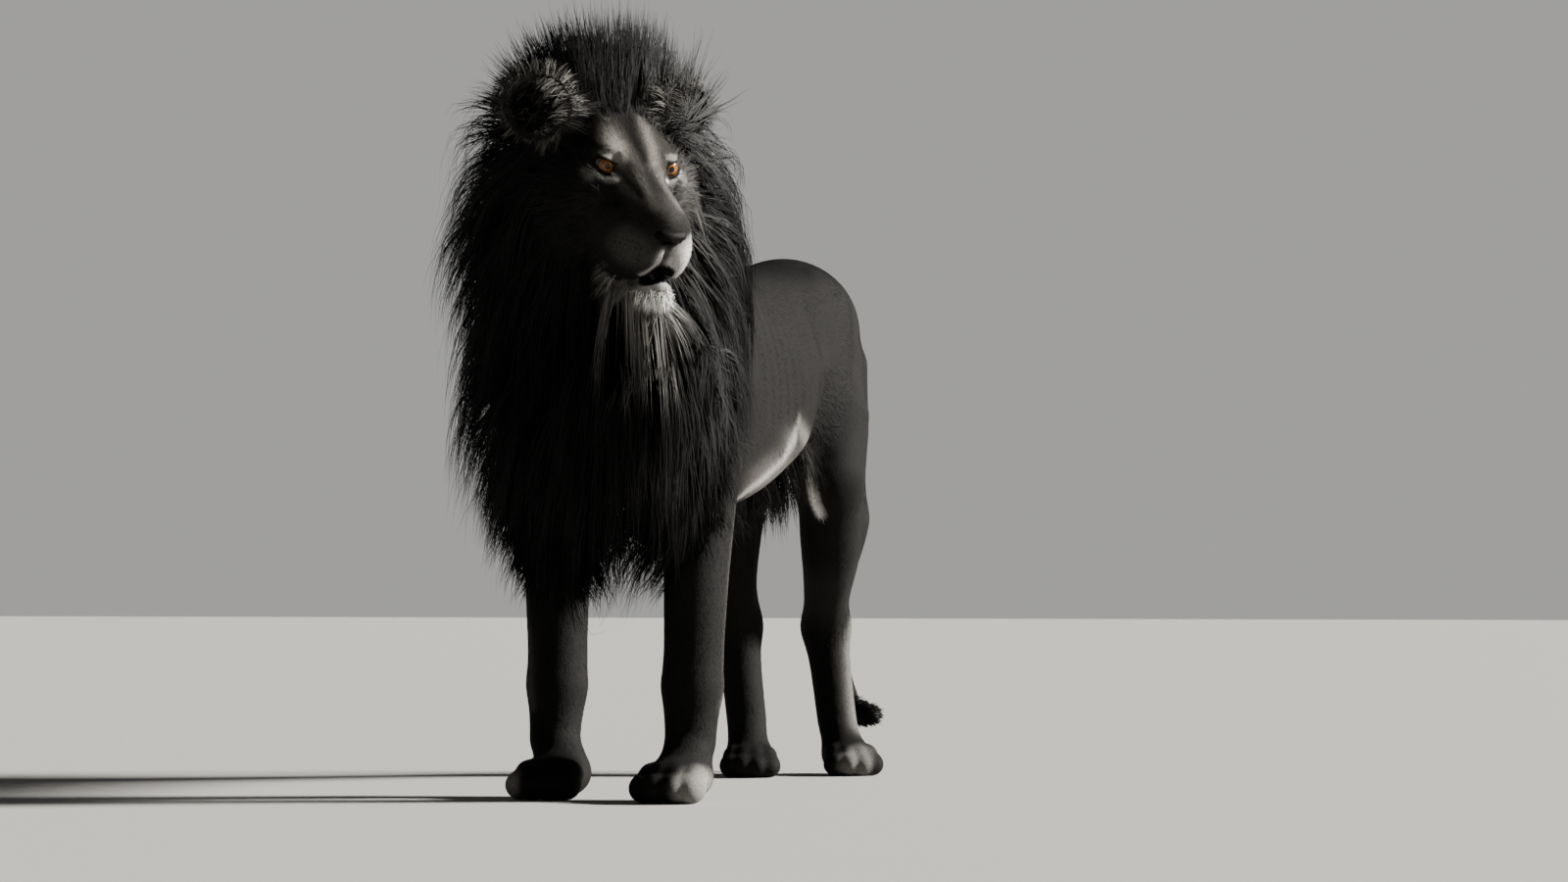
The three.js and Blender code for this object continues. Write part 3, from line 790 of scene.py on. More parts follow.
BODY_LINES = (
    # line, half width, colour, strength; on both sides
    (((112, -150, 566), (132, -134, 581), (149, -43, 622), (158, 20, 657)), 30, (0.040, 0.038, 0.035), 0.7),
    (((112, -150, 552), (132, -134, 562), (149, -43, 603), (156, 20, 638)), 13, (0.24, 0.23, 0.21), 0.85),
    (((156, 20, 645), (158, 62, 672)), 15, (0.17, 0.16, 0.15), 0.8),
    (((158, 62, 672), (156, 88, 702)), 12, (0.13, 0.124, 0.115), 0.6),
    (((150, 110, 685), (120, 260, 650), (90, 336, 640)), 20, (0.12, 0.115, 0.105), 0.6),
    (((76, 336, 668), (90, 342, 615)), 13, (0.74, 0.72, 0.68), 0.95),
    (((90, 342, 612), (98, 362, 568), (97, 406, 523)), 8, (0.80, 0.78, 0.74), 0.95),
    (((72, 700, 300), (76, 684, 240), (86, 668, 180), (98, 650, 100)), 20, (0.10, 0.097, 0.09), 0.7),
    (((186, -410, 520), (182, -440, 330), (180, -470, 170)), 13, (0.05, 0.048, 0.045), 0.6),
)


def lerp(first, second, factor):
    return first + (np.asarray(second) - first) * factor[:, None]


def whisker_roots():
    """Places of the left whiskers in the head's frame, in rows along the pad."""
    roots = []
    for row in range(WHISKER_ROWS):
        for spot in range(6):
            t = spot / 5
            roots.append((48 + 22 * t, -158 + 52 * t + 3 * row, -86 - 10 * row - 6 * t))
    return np.array(roots)


WHISKER_AT = whisker_roots()


def marks_and_painted_light(points):
    """The colour of the coat at points in the body's frame, with a few patches of painted light and shade."""
    h = to_head(points)
    colour = np.tile(COAT_DARK, (len(points), 1)).astype(float)
    for at, radii, paint, strength, both in BODY_MARKS_AND_SHADE:
        colour = lerp(colour, paint, strength * near_ball(points, at, radii, both is True))
    for line, width, paint, strength in BODY_LINES:
        colour = lerp(colour, paint, strength * bell(line_distance(points, line, True), width))
    on_head = near_ball(h, (0, -30, -50), (135, 185, 150))
    face = colour.copy()
    for at, radii, paint, strength, both in HEAD_MARKS_AND_LIGHT:
        # marks set to 'left' are painted light, laid on the lion's left half only, the side that the light
        # falls on
        side = smooth(h[:, 0], -3, 6) if both == "left" else 1.0
        face = lerp(face, paint, side * strength * near_ball(h, at, radii, both is True))
    for line, width, paint, strength, both in HEAD_LINES_AND_LIGHT:
        face = lerp(face, paint, strength * bell(line_distance(h, line, both), width))
    # Black lips, and painted shade: the gap between the lips and a band under the lower lip are painted black
    # as the mouth's shadow.
    lips_and_mouth_shade = np.maximum(lip_line(h, 7.5), near_ball(h, (6, -146, -142), (25, 34, 19)))
    lips_and_mouth_shade = np.maximum(lips_and_mouth_shade, near_ball(h, (-4, -125, -156), (34, 17, 20)))
    face = lerp(face, LIP_BLACK_AND_SHADE, smooth(lips_and_mouth_shade, 0.1, 0.6))
    muzzle = (np.abs(h[:, 0]) > 40) & (h[:, 1] < -90)
    if muzzle.any():
        near = np.linalg.norm(folded(h[muzzle])[:, None] - WHISKER_AT, axis=2).min(axis=1)
        face[muzzle] = lerp(face[muzzle], (0.012, 0.011, 0.011), 0.85 * bell(near, 3.0))
    for _, side in SIDES:
        at, turn = ear_place(side)
        spot = (h - at) @ turn
        ring = np.hypot(spot[:, 0] / EAR["width"], spot[:, 2] / EAR["height"])
        near = smooth(np.abs(spot[:, 1] - 10), 50, 36)
        colour = lerp(colour, EAR_PALE, near * bell(ring - 1.0, 0.34))
        colour = lerp(colour, (0.004, 0.0038, 0.0036), near * smooth(ring, 0.85, 0.6))
        reach, ahead, up, inside = eye_view(h, side)
        close = (ahead > 0.2) * smooth(reach, EYE["radius"] + 10, EYE["radius"] + 6)
        edge = np.where(up > 0, 2.0, 1.45)
        face = lerp(face, (0.006, 0.005, 0.005), close * smooth(inside, edge, 1.15))
    return lerp(colour, face, on_head)


def paint_mesh(mesh, colours, name="Coat"):
    layer = mesh.color_attributes.new(name, "FLOAT_COLOR", "POINT")
    full = np.ones((len(colours), 4), np.float32)
    full[:, :3] = colours
    layer.data.foreach_set("color", full.ravel())


def finish_mesh(mesh):
    """Sets a mesh that was made in the body's frame in its place, in metres."""
    set_corners(mesh, corners(mesh) * MM + HOME)
    mesh.shade_smooth()


short_fur = Finish("short_fur", Roughness=0.75, Specular_IOR_Level=0.03)
fur_paint = short_fur.painted("Coat")
fur_long = short_fur.noise(short_fur.place((560, 170, 220)), 1.0, 3.0, 0.6)
fur_fine = short_fur.noise(short_fur.place((1300, 600, 600)), 1.0, 2.0)
fur_cloud = short_fur.noise(short_fur.place(), 9.0, 4.0)
fur_shade = (fur_long * 1.5 + 0.25) * (fur_cloud * 0.5 + 0.75)
shaded_paint = short_fur.mix(1.0, fur_paint, fur_shade, "MULTIPLY")
short_fur.shade(Base_Color=shaded_paint, Normal=short_fur.bump(fur_long + fur_fine * 0.6, 0.45, 0.002))

paint_mesh(skin_mesh, marks_and_painted_light(skin_points))
bare_skin_points = skin_points
finish_mesh(skin_mesh)
skin = new_object("skin", skin_mesh, short_fur.material)
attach(skin, "root")
FLESH = [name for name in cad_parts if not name.startswith(("eye_", "nose"))]
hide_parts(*FLESH)

# ---- The eyes ----
# Wet amber balls behind the lids, with a round black pupil, a darker ring round the iris and a clear
# bulge in front. Each is a fine sphere that bulges over the iris.
GAZE = np.array((0.07, -0.97, -0.02))  # the way the left eye looks, in the head's frame
GLANCE = np.array((-0.07, 0.0, 0.14))  # what turns both eyes up and a little to the right
IRIS = 0.88  # radians from the middle of the pupil
PUPIL = 0.27
CORNEA = 1.3  # millimetres
IRIS_DARK, IRIS_LIGHT = (0.055, 0.016, 0.004, 1), (0.19, 0.068, 0.013, 1)
IRIS_WARM = (0.22, 0.090, 0.018, 1)  # next to the pupil
IRIS_RIM = (0.02, 0.008, 0.004, 1)
EYE_WHITE = (0.060, 0.046, 0.038, 1)
PUPIL_BLACK = (0.002, 0.002, 0.002, 1)


def eyeball(name, node, side):
    middle, *_ = eye_frame(side)
    gaze = unit(GAZE * (side, 1, 1) + GLANCE)
    ball = bmesh.new()
    bmesh.ops.create_uvsphere(ball, u_segments=48, v_segments=32, radius=EYE["radius"] - 0.3)
    mesh = bpy.data.meshes.new(name)
    ball.to_mesh(mesh)
    ball.free()
    points = corners(mesh)
    angle = np.arccos(np.clip(unit(points) @ gaze, -1, 1))
    points = points * (1 + CORNEA / EYE["radius"] * smooth(angle, IRIS * 1.1, 0.0))[:, None] + middle
    set_corners(mesh, from_head(points))
    finish_mesh(mesh)

    centre = from_head(middle[None])[0] * MM + HOME
    forward = HEAD_TURN @ gaze
    level = unit(np.cross(forward, (0, 0, 1)))
    upward = np.cross(level, forward)
    amber = Finish(name + "_amber", Roughness=0.08, IOR=1.38)
    place = amber.node("ShaderNodeTexCoord", output="Object")
    away = amber.node("ShaderNodeVectorMath", {"operation": "SUBTRACT"}, {0: place})
    amber.feed(away.link.node.inputs[1], centre)
    flat = amber.node("ShaderNodeVectorMath", {"operation": "NORMALIZE"}, {0: away})

    def along(axis):
        return amber.node("ShaderNodeVectorMath", {"operation": "DOT_PRODUCT"}, {0: flat, 1: tuple(axis)},
                          output=1)

    off = amber.node("ShaderNodeMath", {"operation": "ARCCOSINE"}, {0: along(forward)})
    spoke = amber.node("ShaderNodeMath", {"operation": "ARCTAN2"}, {0: along(level), 1: along(upward)})
    streak_at = amber.node("ShaderNodeCombineXYZ", {}, {0: spoke * 7.0, 1: off * 6.0})
    streaks = amber.noise(streak_at, 1.6, 3.0)
    iris = amber.mix(streaks.step(0.35, 0.65), IRIS_DARK, IRIS_LIGHT)
    iris = amber.mix(off.step(PUPIL + 0.02, PUPIL + 0.20), IRIS_WARM, iris)
    iris = amber.mix(off.step(IRIS * 0.78, IRIS), iris, IRIS_RIM)
    white = amber.mix(off.step(IRIS, IRIS + 0.05), iris, EYE_WHITE)
    amber.shade(Base_Color=amber.mix(off.step(PUPIL - 0.02, PUPIL + 0.02), PUPIL_BLACK, white))
    piece = new_object(name, mesh, amber.material)
    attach(piece, "root")
    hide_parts(node)


for side_name, side in SIDES:
    eyeball(f"eyeball_{side_name}", f"eye_{side_name}", side)

# ---- The nose ----
# Moist dark leather over the tip of the muzzle: a broad pad with a rounded top edge and two nostrils that
# curl outwards. It is a fine ball drawn on to the pad's form.
NOSE = Group([
    Ball((0, -154, -64), (28, 23, 10)),
    Ball((-2, -158, -82), (12, 18, 20)),
    *pair(Ball((18, -152, -69), (12, 18, 12))),  # wings of the nostrils
], 5, in_head=True)
NOSTRIL = ((7, -177, -79), (13, -174, -76), (21, -167, -72), (28, -154, -75))


def nose_pad():
    ball = bmesh.new()
    bmesh.ops.create_icosphere(ball, subdivisions=6, radius=30.0)
    mesh = bpy.data.meshes.new("nose")
    ball.to_mesh(mesh)
    ball.free()
    points = from_head(corners(mesh) * (1.0, 0.6, 0.6) + (0, -152, -68))
    points = settle(points, NOSE, 8)
    h = to_head(points)
    out = -8.0 * bell(line_distance(h, NOSTRIL, True), 4.2)
    out += 1.2 * bell(line_distance(h, [(x, y, z + 6) for x, y, z in NOSTRIL], True), 3.0)
    out -= 2.0 * bell(line_distance(h, ((0, -184, -66), (0, -184, -90))), 2.4)
    points = points + out[:, None] * unit(measure(NOSE, points)[1])
    set_corners(mesh, points)
    h = to_head(points)
    colour = np.tile((0.0024, 0.0015, 0.0015), (len(points), 1)).astype(float)
    colour = lerp(colour, (0.0040, 0.0023, 0.0022), near_ball(h, (12, -176, -72), (26, 30, 14)))
    colour = lerp(colour, (0.002, 0.002, 0.002), bell(line_distance(h, NOSTRIL, True), 3.6))
    paint_mesh(mesh, colour)
    finish_mesh(mesh)
    leather = Finish("nose_leather", Specular_IOR_Level=0.05)
    place = leather.place()
    cells = leather.node("ShaderNodeTexVoronoi", {}, {"Vector": place, "Scale": 900.0})
    fine = leather.noise(place, 500.0)
    paint = leather.mix(fine * 0.5, leather.painted("Coat"), (0.0022, 0.0015, 0.0015, 1))
    leather.shade(Base_Color=paint, Roughness=fine * 0.25 + 0.38,
                  Normal=leather.bump(cells, 0.5, 0.0008))
    piece = new_object("nose_pad", mesh, leather.material)
    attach(piece, "root")
    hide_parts("nose")


nose_pad()

# ---- The coat: roots and hairs ----
# Every hair or tuft is a thin three-sided solid that tapers to a point. Its root stands on the skin, its
# colour comes from the markings and the painted light among them, and its patch of the OFBake map lies
# at its root's place on the skin, rolled out round the part of the body that it grows on.
HAIR_SIDES = 3
PATCH = 0.003  # side of a hair's patch on the OFBake map
ROOT_DEPTH = 2.0  # millimetres that a root starts under the skin
rng = np.random.default_rng(20)

skin_mesh.calc_loop_triangles()
skin_faces = np.empty(len(skin_mesh.loop_triangles) * 3, np.int32)
skin_mesh.loop_triangles.foreach_get("vertices", skin_faces)
skin_faces = skin_faces.reshape(-1, 3)
skin_normals = np.empty(len(skin_mesh.vertices) * 3, np.float32)
skin_mesh.vertices.foreach_get("normal", skin_normals)
skin_normals = skin_normals.reshape(-1, 3).astype(float)
face_corners = bare_skin_points[skin_faces]
face_middles = face_corners.mean(axis=1)
face_areas = np.linalg.norm(np.cross(face_corners[:, 1] - face_corners[:, 0],
                                     face_corners[:, 2] - face_corners[:, 0]), axis=1) / 2
face_ways = unit(skin_normals[skin_faces].mean(axis=1))
face_h = to_head(face_middles)
off_head = HEAD.distance(face_middles)
on_ear = skin_faces[:, 0] >= BODY_CORNERS


def scatter(density, count):
    """Even roots over the skin, as many in each place as the density asks for."""
    load = np.cumsum(face_areas * density)
    picks = np.searchsorted(load, (np.arange(count) + rng.random(count)) / count * load[-1])
    a, b = np.sqrt(rng.random(count)), rng.random(count)
    share = np.stack([1 - a, a * (1 - b), a * b], axis=1)[:, :, None]
    chosen = skin_faces[np.minimum(picks, len(skin_faces) - 1)]
    return (bare_skin_points[chosen] * share).sum(axis=1), unit((skin_normals[chosen] * share).sum(axis=1))


def rolled_out(points, at, axis, low, high):
    """Where points fall on a cylinder round an axis, rolled out flat, from 0 to 1 both ways."""
    axis = unit(np.array(axis, float))
    side = unit(np.cross(axis, (0.0, 0.6, 0.8)))
    away = points - at
    turn = np.arctan2(away @ side, away @ np.cross(side, axis)) / (2 * math.pi) + 0.5
    along = np.clip((away @ axis - low) / (high - low), 0.0, 1.0)
    return np.stack([turn, along], axis=1) * (1 - 2 * PATCH) + PATCH


def roll(at, axis, low, high, in_head=False):
    """A function that rolls points out so, round an axis that may be in the head's frame."""
    return lambda points: rolled_out(to_head(points) if in_head else points, at, axis, low, high)


def tube_faces(rings):
    """The triangles of one hair, whose corners are numbered ring by ring from the root to the tip."""
    faces = [(0, 2, 1)]
    for low in range(rings - 1):
        for a in range(HAIR_SIDES):
            b = (a + 1) % HAIR_SIDES
            here, there = low * HAIR_SIDES, (low + 1) * HAIR_SIDES
            faces += [(here + a, here + b, there + b), (here + a, there + b, there + a)]
    last, tip = (rings - 1) * HAIR_SIDES, rings * HAIR_SIDES
    faces += [(last + a, last + (a + 1) % HAIR_SIDES, tip) for a in range(HAIR_SIDES)]
    return np.array(faces)


def triangle_mesh(name, points, triangles):
    mesh = bpy.data.meshes.new(name)
    mesh.vertices.add(len(points))
    mesh.loops.add(triangles.size)
    mesh.polygons.add(len(triangles))
    mesh.loops.foreach_set("vertex_index", triangles.ravel().astype(np.int32))
    mesh.polygons.foreach_set("loop_start", np.arange(0, triangles.size, 3, dtype=np.int32))
    set_corners(mesh, points)
    return mesh


def hairs(name, paths, widths, outward, colours, unrolled, material, flat=0.7, soft=1.0):
    """One piece of many hairs. paths is hairs x points x 3, and the last point is the tip. The softer the
    hairs, the more they take the light as the form under them does."""
    count, steps, _ = paths.shape
    rings = steps - 1
    outward = np.broadcast_to(outward if outward.ndim == 3 else outward[:, None], paths.shape)
    ways = unit(np.gradient(paths, axis=1))
    across = unit(np.cross(ways, outward))
    over = np.cross(across, ways)
    turns = -2 * math.pi * (np.arange(HAIR_SIDES) / HAIR_SIDES) - math.pi / 2
    ring = np.cos(turns)[:, None] * across[:, :rings, None]
    ring = ring + flat * np.sin(turns)[:, None] * over[:, :rings, None]
    tube = paths[:, :rings, None] + widths[:, :rings, None, None] / 2 * ring
    points = np.concatenate([tube.reshape(count, -1, 3), paths[:, -1:]], axis=1)
    per_hair = points.shape[1]
    every = (tube_faces(rings)[None] + per_hair * np.arange(count)[:, None, None]).reshape(-1, 3)
    mesh = triangle_mesh(name, points.reshape(-1, 3), every)

    # Where each corner lies along and round its hair, shifted from hair to hair.
    strand = np.zeros((count, per_hair, 3), np.float32)
    strand[:, :-1, 0] = np.tile(np.arange(HAIR_SIDES), rings) * widths[:, :1] * 0.7
    strand[:, :-1, 1] = np.repeat(np.arange(rings), HAIR_SIDES) / rings
    strand[:, -1, 1] = 1.0
    strand += (np.arange(count)[:, None, None] * np.array((13.7, 5.3, 3.1), np.float32)) % 97.0
    streaks = mesh.attributes.new("Strand", "FLOAT_VECTOR", "POINT")
    streaks.data.foreach_set("vector", strand.ravel())
    ring_colours = np.repeat(colours[:, :rings], HAIR_SIDES, axis=1)
    paint_mesh(mesh, np.concatenate([ring_colours, colours[:, -1:]], axis=1).reshape(-1, 3))

    spread = np.zeros((per_hair, 2))
    spread[:-1, 0] = np.tile(np.arange(HAIR_SIDES), rings) / HAIR_SIDES * PATCH
    spread[:-1, 1] = np.repeat(np.arange(rings), HAIR_SIDES) / rings * PATCH
    spread[-1] = (PATCH / 2, PATCH)
    flat_map = (unrolled[:, None] + spread).reshape(-1, 2)
    layer = mesh.uv_layers.new(name="OFBake")
    layer.data.foreach_set("uv", flat_map[every.ravel()].astype(np.float32).ravel())
    mesh.validate()
    finish_mesh(mesh)

    round_hair = ring / np.maximum(np.linalg.norm(ring, axis=-1, keepdims=True), 1e-6)
    lit = unit(round_hair * (1 - soft) + outward[:, :rings, None] * soft).reshape(count, -1, 3)
    lit = np.concatenate([lit, outward[:, -1:]], axis=1)
    mesh.normals_split_custom_set_from_vertices(lit.reshape(-1, 3))
    piece = new_object(name, mesh, material)
    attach(piece, "root")
    return piece


# ---- The mane ----
# Long black hair from the crown, the cheeks, the throat, the neck and the shoulders, down to the elbows.
# Locks are led by one hair each: it grows out of the skin, bends down under its weight and stays under
# the mane's form. The lock's other hairs follow it and draw together to its tip.
MANE = Group([
    Ball((-24, -553, 1155), (250, 130, 238), (0, 0, 36)),  # crown
    Ball((10, -555, 1215), (214, 115, 206), (0, 0, 36)),  # crest
    Ball((-5, -470, 1060), (180, 150, 225)),  # nape
    Ball((-62, -525, 960), (282, 160, 290), (0, 0, 18)),  # ruff
    Ball((90, -635, 800), (115, 105, 190)),  # beard
    Ball((-50, -535, 640), (270, 196, 314), (0, 0, 8)),  # chest
    Ball((0, -400, 940), (196, 185, 215)),  # shoulders
    Ball((-8, -430, 745), (214, 155, 245)),  # upper arms
], 30)
MANE_BLACK = (0.0040, 0.0038, 0.0037)
LOCKS = 2700
LOCK_LENGTHS = (230, 350)
LOCK_ENDS = (-14, 24)  # how far beyond the mane's form the locks end
# The hairs of a lock, fine and broad: how many, how far they spread at the root, how much they draw
# together towards the tip, how far they stray, and the least share of the leader that they follow.
MANE_FINE = dict(each=7, spread=14.0, clump=0.45, stray=9.0, least=0.72)
MANE_BROAD = dict(each=2, spread=11.0, clump=0.4, stray=5.0, least=0.75)
LEADER_STEPS = 22
BROAD_SHARE = 0.75  # how much of a lock its broad strands follow
HAIR_WIDTHS, BROAD_WIDTHS = (1.2, 2.2), (3.5, 6.5)
HAIR_POINTS = 6
MANE_MARKS_AND_LIGHT = (
    ((128, -720, 885), (110, 105, 95), (0.24, 0.23, 0.215), 0.9),  # under the chin
    ((118, -715, 790), (105, 95, 120), (0.10, 0.096, 0.090), 0.85),  # beard
    # painted light: the hair beside the left cheek and at the left temple is painted grey where the light
    # falls; the same hair on the right stays black
    ((190, -610, 990), (70, 95, 180), (0.030, 0.0285, 0.026), 0.8),  # beside the left cheek
    ((185, -640, 1150), (60, 70, 90), (0.035, 0.033, 0.031), 0.7),  # left temple
    ((60, -660, 1300), (120, 80, 90), (0.008, 0.0075, 0.0070), 0.6),  # forelock
)
# Where the face ends and the mane begins, in the head's frame: how far back, at each height.
EDGE_UP = (-240, -196, -180, -160, -124, -44, 15, 60, 90, 120)
EDGE_BACK = (-150, -126, -56, -10, 4, 8, 52, 90, 112, 122)
FACE_MIDDLE = from_head((0, -70, -60))
EAR_ROOM = Group(pair(Ball((144, 94, 70), (58, 44, 56))), 10, in_head=True)
MANE_BODY = Group([TRUNK, NECK, *FORELEGS, HEAD, EAR_ROOM], 10)


def behind_face(points):
    h = to_head(points)
    on_head = HEAD.distance(points) < 25
    return np.where(on_head, smooth(h[:, 1] - np.interp(h[:, 2], EDGE_UP, EDGE_BACK), -4, 14), 1.0)


def mane_colours(points):
    flat = points.reshape(-1, 3)
    colour = np.tile(MANE_BLACK, (len(flat), 1)).astype(float)
    for at, radii, paint, strength in MANE_MARKS_AND_LIGHT:
        colour = lerp(colour, paint, strength * near_ball(flat, at, radii))
    return colour.reshape(points.shape)


def along_path(path, at):
    """The points of each path at a number of steps from its root."""
    low = np.minimum(at.astype(int), path.shape[1] - 2)
    rows = np.arange(len(path)).reshape(-1, *[1] * (at.ndim - 1))
    return path[rows, low] + (at - low)[..., None] * (path[rows, low + 1] - path[rows, low])


def trimmed(path, beyond):
    """Ends each path where it has come so far beyond the mane's form."""
    steps = path.shape[1]
    out = MANE.distance(path.reshape(-1, 3)).reshape(path.shape[:2]) > beyond[:, None]
    out[:, :steps // 4] = False
    last = np.where(out.any(axis=1), out.argmax(axis=1), steps - 1)
    return along_path(path, np.linspace(0, 1, steps) * last[:, None])


def lead(roots, normals):
    """Grows the leaders of the locks. Returns their paths, locks x steps x 3, and the ways out."""
    away = unit(roots - FACE_MIDDLE)
    head_up = smooth(roots[:, 2], 1120, 1230) * (HEAD.distance(roots) < 30)
    ways = 0.75 * normals + (0.45 + 0.15 * head_up[:, None]) * away
    ways = unit(ways + 0.16 * rng.normal(size=roots.shape))
    ways = unit(ways + head_up[:, None] * (0.0, 0.0, 0.8))
    thin = smooth(-MANE.distance(roots), 100, 25)[:, None] * (1 - head_up[:, None])
    flat = unit(np.cross(np.cross(normals, (0.0, 0.75, -0.65)), normals))
    ways = unit(ways * (1 - 0.8 * thin) + thin * (flat + 0.25 * normals))
    lengths = rng.uniform(*LOCK_LENGTHS, len(roots)) * (1 - 0.45 * smooth(roots[:, 1], -330, -210))
    margin = rng.uniform(-16, 6, len(roots))
    bend = 0.16 * (1 - 0.93 * head_up)
    points = roots - ROOT_DEPTH * normals
    path = [points]
    for step in range(1, LEADER_STEPS):
        t = step / (LEADER_STEPS - 1)
        ways = unit(ways + (bend * (0.35 + 1.2 * t))[:, None] * (0.0, 0.10, -1.0))
        value, slope = measure(MANE, points, 2.0)
        slope = unit(slope * (1, 1, 0.15))
        over, rise = measure(MANE_BODY, points, 2.0)
        rise = unit(rise)
        held = smooth(value, -margin - 24, -margin) * (1 - 0.9 * head_up) * smooth(over, 6, 30)
        outward = np.maximum((ways * slope).sum(axis=1), 0) * held
        ways = unit(ways - outward[:, None] * slope)
        near = smooth(over, 10 + 12 * t, 2 + 8 * t) * (t > 0.06)
        inward = np.maximum(-(ways * rise).sum(axis=1), 0) * near
        ways = unit(ways + (inward + 0.12 * near)[:, None] * rise)
        points = points + ways * (lengths / (LEADER_STEPS - 1))[:, None]
        path.append(points)
    path = np.stack(path, axis=1)
    for _ in range(8):
        path[:, 1:-1] = 0.5 * path[:, 1:-1] + 0.25 * (path[:, :-2] + path[:, 2:])
    path = trimmed(path, rng.uniform(*LOCK_ENDS, len(roots)))
    ways = unit(np.diff(path, axis=1))
    straight = (ways[:, 5:] * ways[:, :-5]).sum(axis=2).min(axis=1) > 0.1
    return path, straight & (np.linalg.norm(path[:, -1] - roots, axis=1) > 30)


def lock_hairs(paths, normals, each, spread, clump, stray, least=0.72):
    """The hairs of each lock, from its leader's path: hairs x points x 3."""
    locks = len(paths)
    sideways = unit(np.cross(normals, (0.3, 0.5, 0.8)))
    other = np.cross(normals, sideways)
    turn = rng.uniform(0, 2 * math.pi, (locks, each))
    out = spread * np.sqrt(rng.random((locks, each)))
    offset = (out * np.cos(turn))[..., None] * sideways[:, None]
    offset = offset + (out * np.sin(turn))[..., None] * other[:, None]
    part = rng.uniform(least, 1.0, (locks, each))
    drift = rng.normal(size=(locks, each, 3)) * stray
    wave = rng.normal(size=(locks, each, 3)) * 0.22 * stray
    made = []
    for k in range(HAIR_POINTS):
        t = k / (HAIR_POINTS - 1)
        here = along_path(paths, part * t * (paths.shape[1] - 1))
        made.append(here + offset * (1 - clump * t) + drift * t * t + wave * math.sin(4.5 * t))
    return np.stack(made, axis=2).reshape(locks * each, HAIR_POINTS, 3)


def taper(base, points):
    """The widths of hairs from root to tip, for their base widths."""
    t = np.linspace(0, 1, points)
    return base[:, None] * (1 - 0.8 * t ** 2.2) * np.minimum(1.0, 0.55 + 2.5 * t)


long_hair = Finish("long_hair", Roughness=0.6, Specular_IOR_Level=0.07)
hair_paint = long_hair.painted("Coat")
strand_at = long_hair.node("ShaderNodeAttribute", {"attribute_name": "Strand"}, output="Vector")
strand_at = long_hair.node("ShaderNodeMapping", {}, {"Vector": strand_at, "Scale": (0.9, 2.0, 1.0)})
streak = long_hair.noise(strand_at, 1.0, 2.0, 0.6)
long_hair.shade(Base_Color=long_hair.mix(1.0, hair_paint, streak.step(0.25, 0.75) * 1.5 + 0.25, "MULTIPLY"),
                Normal=long_hair.bump(streak, 0.6, 0.0015))

hull_depth = -MANE.distance(face_middles)
mane_density = smooth(hull_depth, 6, 22) * behind_face(face_middles)
mane_density *= 1 + 1.3 * (off_head < 20) + 1.6 * smooth(face_middles[:, 2], 1140, 1200)
mane_density *= 1 + 0.7 * smooth(face_middles[:, 0], -60, -120)
under_chin = (off_head < 20) * smooth(face_h[:, 2], -100, -150)
mane_density *= 1 + 1.2 * under_chin
mane_density[on_ear] = 0
lock_roots, lock_normals = scatter(mane_density, LOCKS)
lock_paths, even = lead(lock_roots, lock_normals)
lock_roots, lock_normals, lock_paths = lock_roots[even], lock_normals[even], lock_paths[even]
lock_tones = rng.lognormal(0.0, 0.2, len(lock_paths))


def mane_piece(name, chosen):
    """Fine hairs over two broad dark strands in each lock."""
    fine = lock_hairs(lock_paths[chosen], lock_normals[chosen], **MANE_FINE)
    shorter = lock_paths[chosen][:, :int(LEADER_STEPS * BROAD_SHARE)]
    broad = lock_hairs(shorter, lock_normals[chosen], **MANE_BROAD)
    paths = np.concatenate([fine, broad])
    tones = np.repeat(lock_tones[chosen], MANE_FINE["each"]) * rng.lognormal(0.0, 0.18, len(fine))
    tones = np.concatenate([tones, 0.5 * np.repeat(lock_tones[chosen], MANE_BROAD["each"])])
    widths = np.concatenate([rng.uniform(*HAIR_WIDTHS, len(fine)), rng.uniform(*BROAD_WIDTHS, len(broad))])
    colours = mane_colours(paths) * tones[:, None, None]
    unrolled = rolled_out(paths[:, 0], (-40, -500, 0), (0, 0, 1), 300, 1320)
    outward = unit(measure(MANE, paths.reshape(-1, 3), 2.0)[1]).reshape(paths.shape)
    piece = hairs(name, paths, taper(widths, HAIR_POINTS), outward, colours, unrolled,
                  long_hair.material, 0.4, 0.88)


crown = lock_roots[:, 2] > 1165
beard = ~crown & (to_head(lock_roots)[:, 2] < -120) & (HEAD.distance(lock_roots) < 25)
low_down = ~crown & ~beard & (lock_roots[:, 2] < 800)
left_half = lock_roots[:, 0] > -10
mane_piece("mane_crown_left", crown & left_half)
mane_piece("mane_crown_right", crown & ~left_half)
mane_piece("mane_beard", beard)
middle_part = ~crown & ~beard & ~low_down
mane_piece("mane_neck_left", middle_part & left_half)
mane_piece("mane_neck_right", middle_part & ~left_half)
mane_piece("mane_chest_left", low_down & left_half)
mane_piece("mane_chest_right", low_down & ~left_half)

# ---- Hair of the ears, the chin, the belly and the tail ----
# The ears' rims carry a soft brush of hair and their openings a few long pale ones. White hair hangs from
# the chin, a ragged black fringe from the belly, and a black tuft ends the tail.
EAR_INSIDE = (0.046, 0.0435, 0.040)
EAR_CORNER = (0.16, 0.152, 0.14)
CHIN_WHITE = (0.78, 0.77, 0.74)
CHIN_GREY = (0.13, 0.125, 0.118)  # at the tips of its lowest hairs
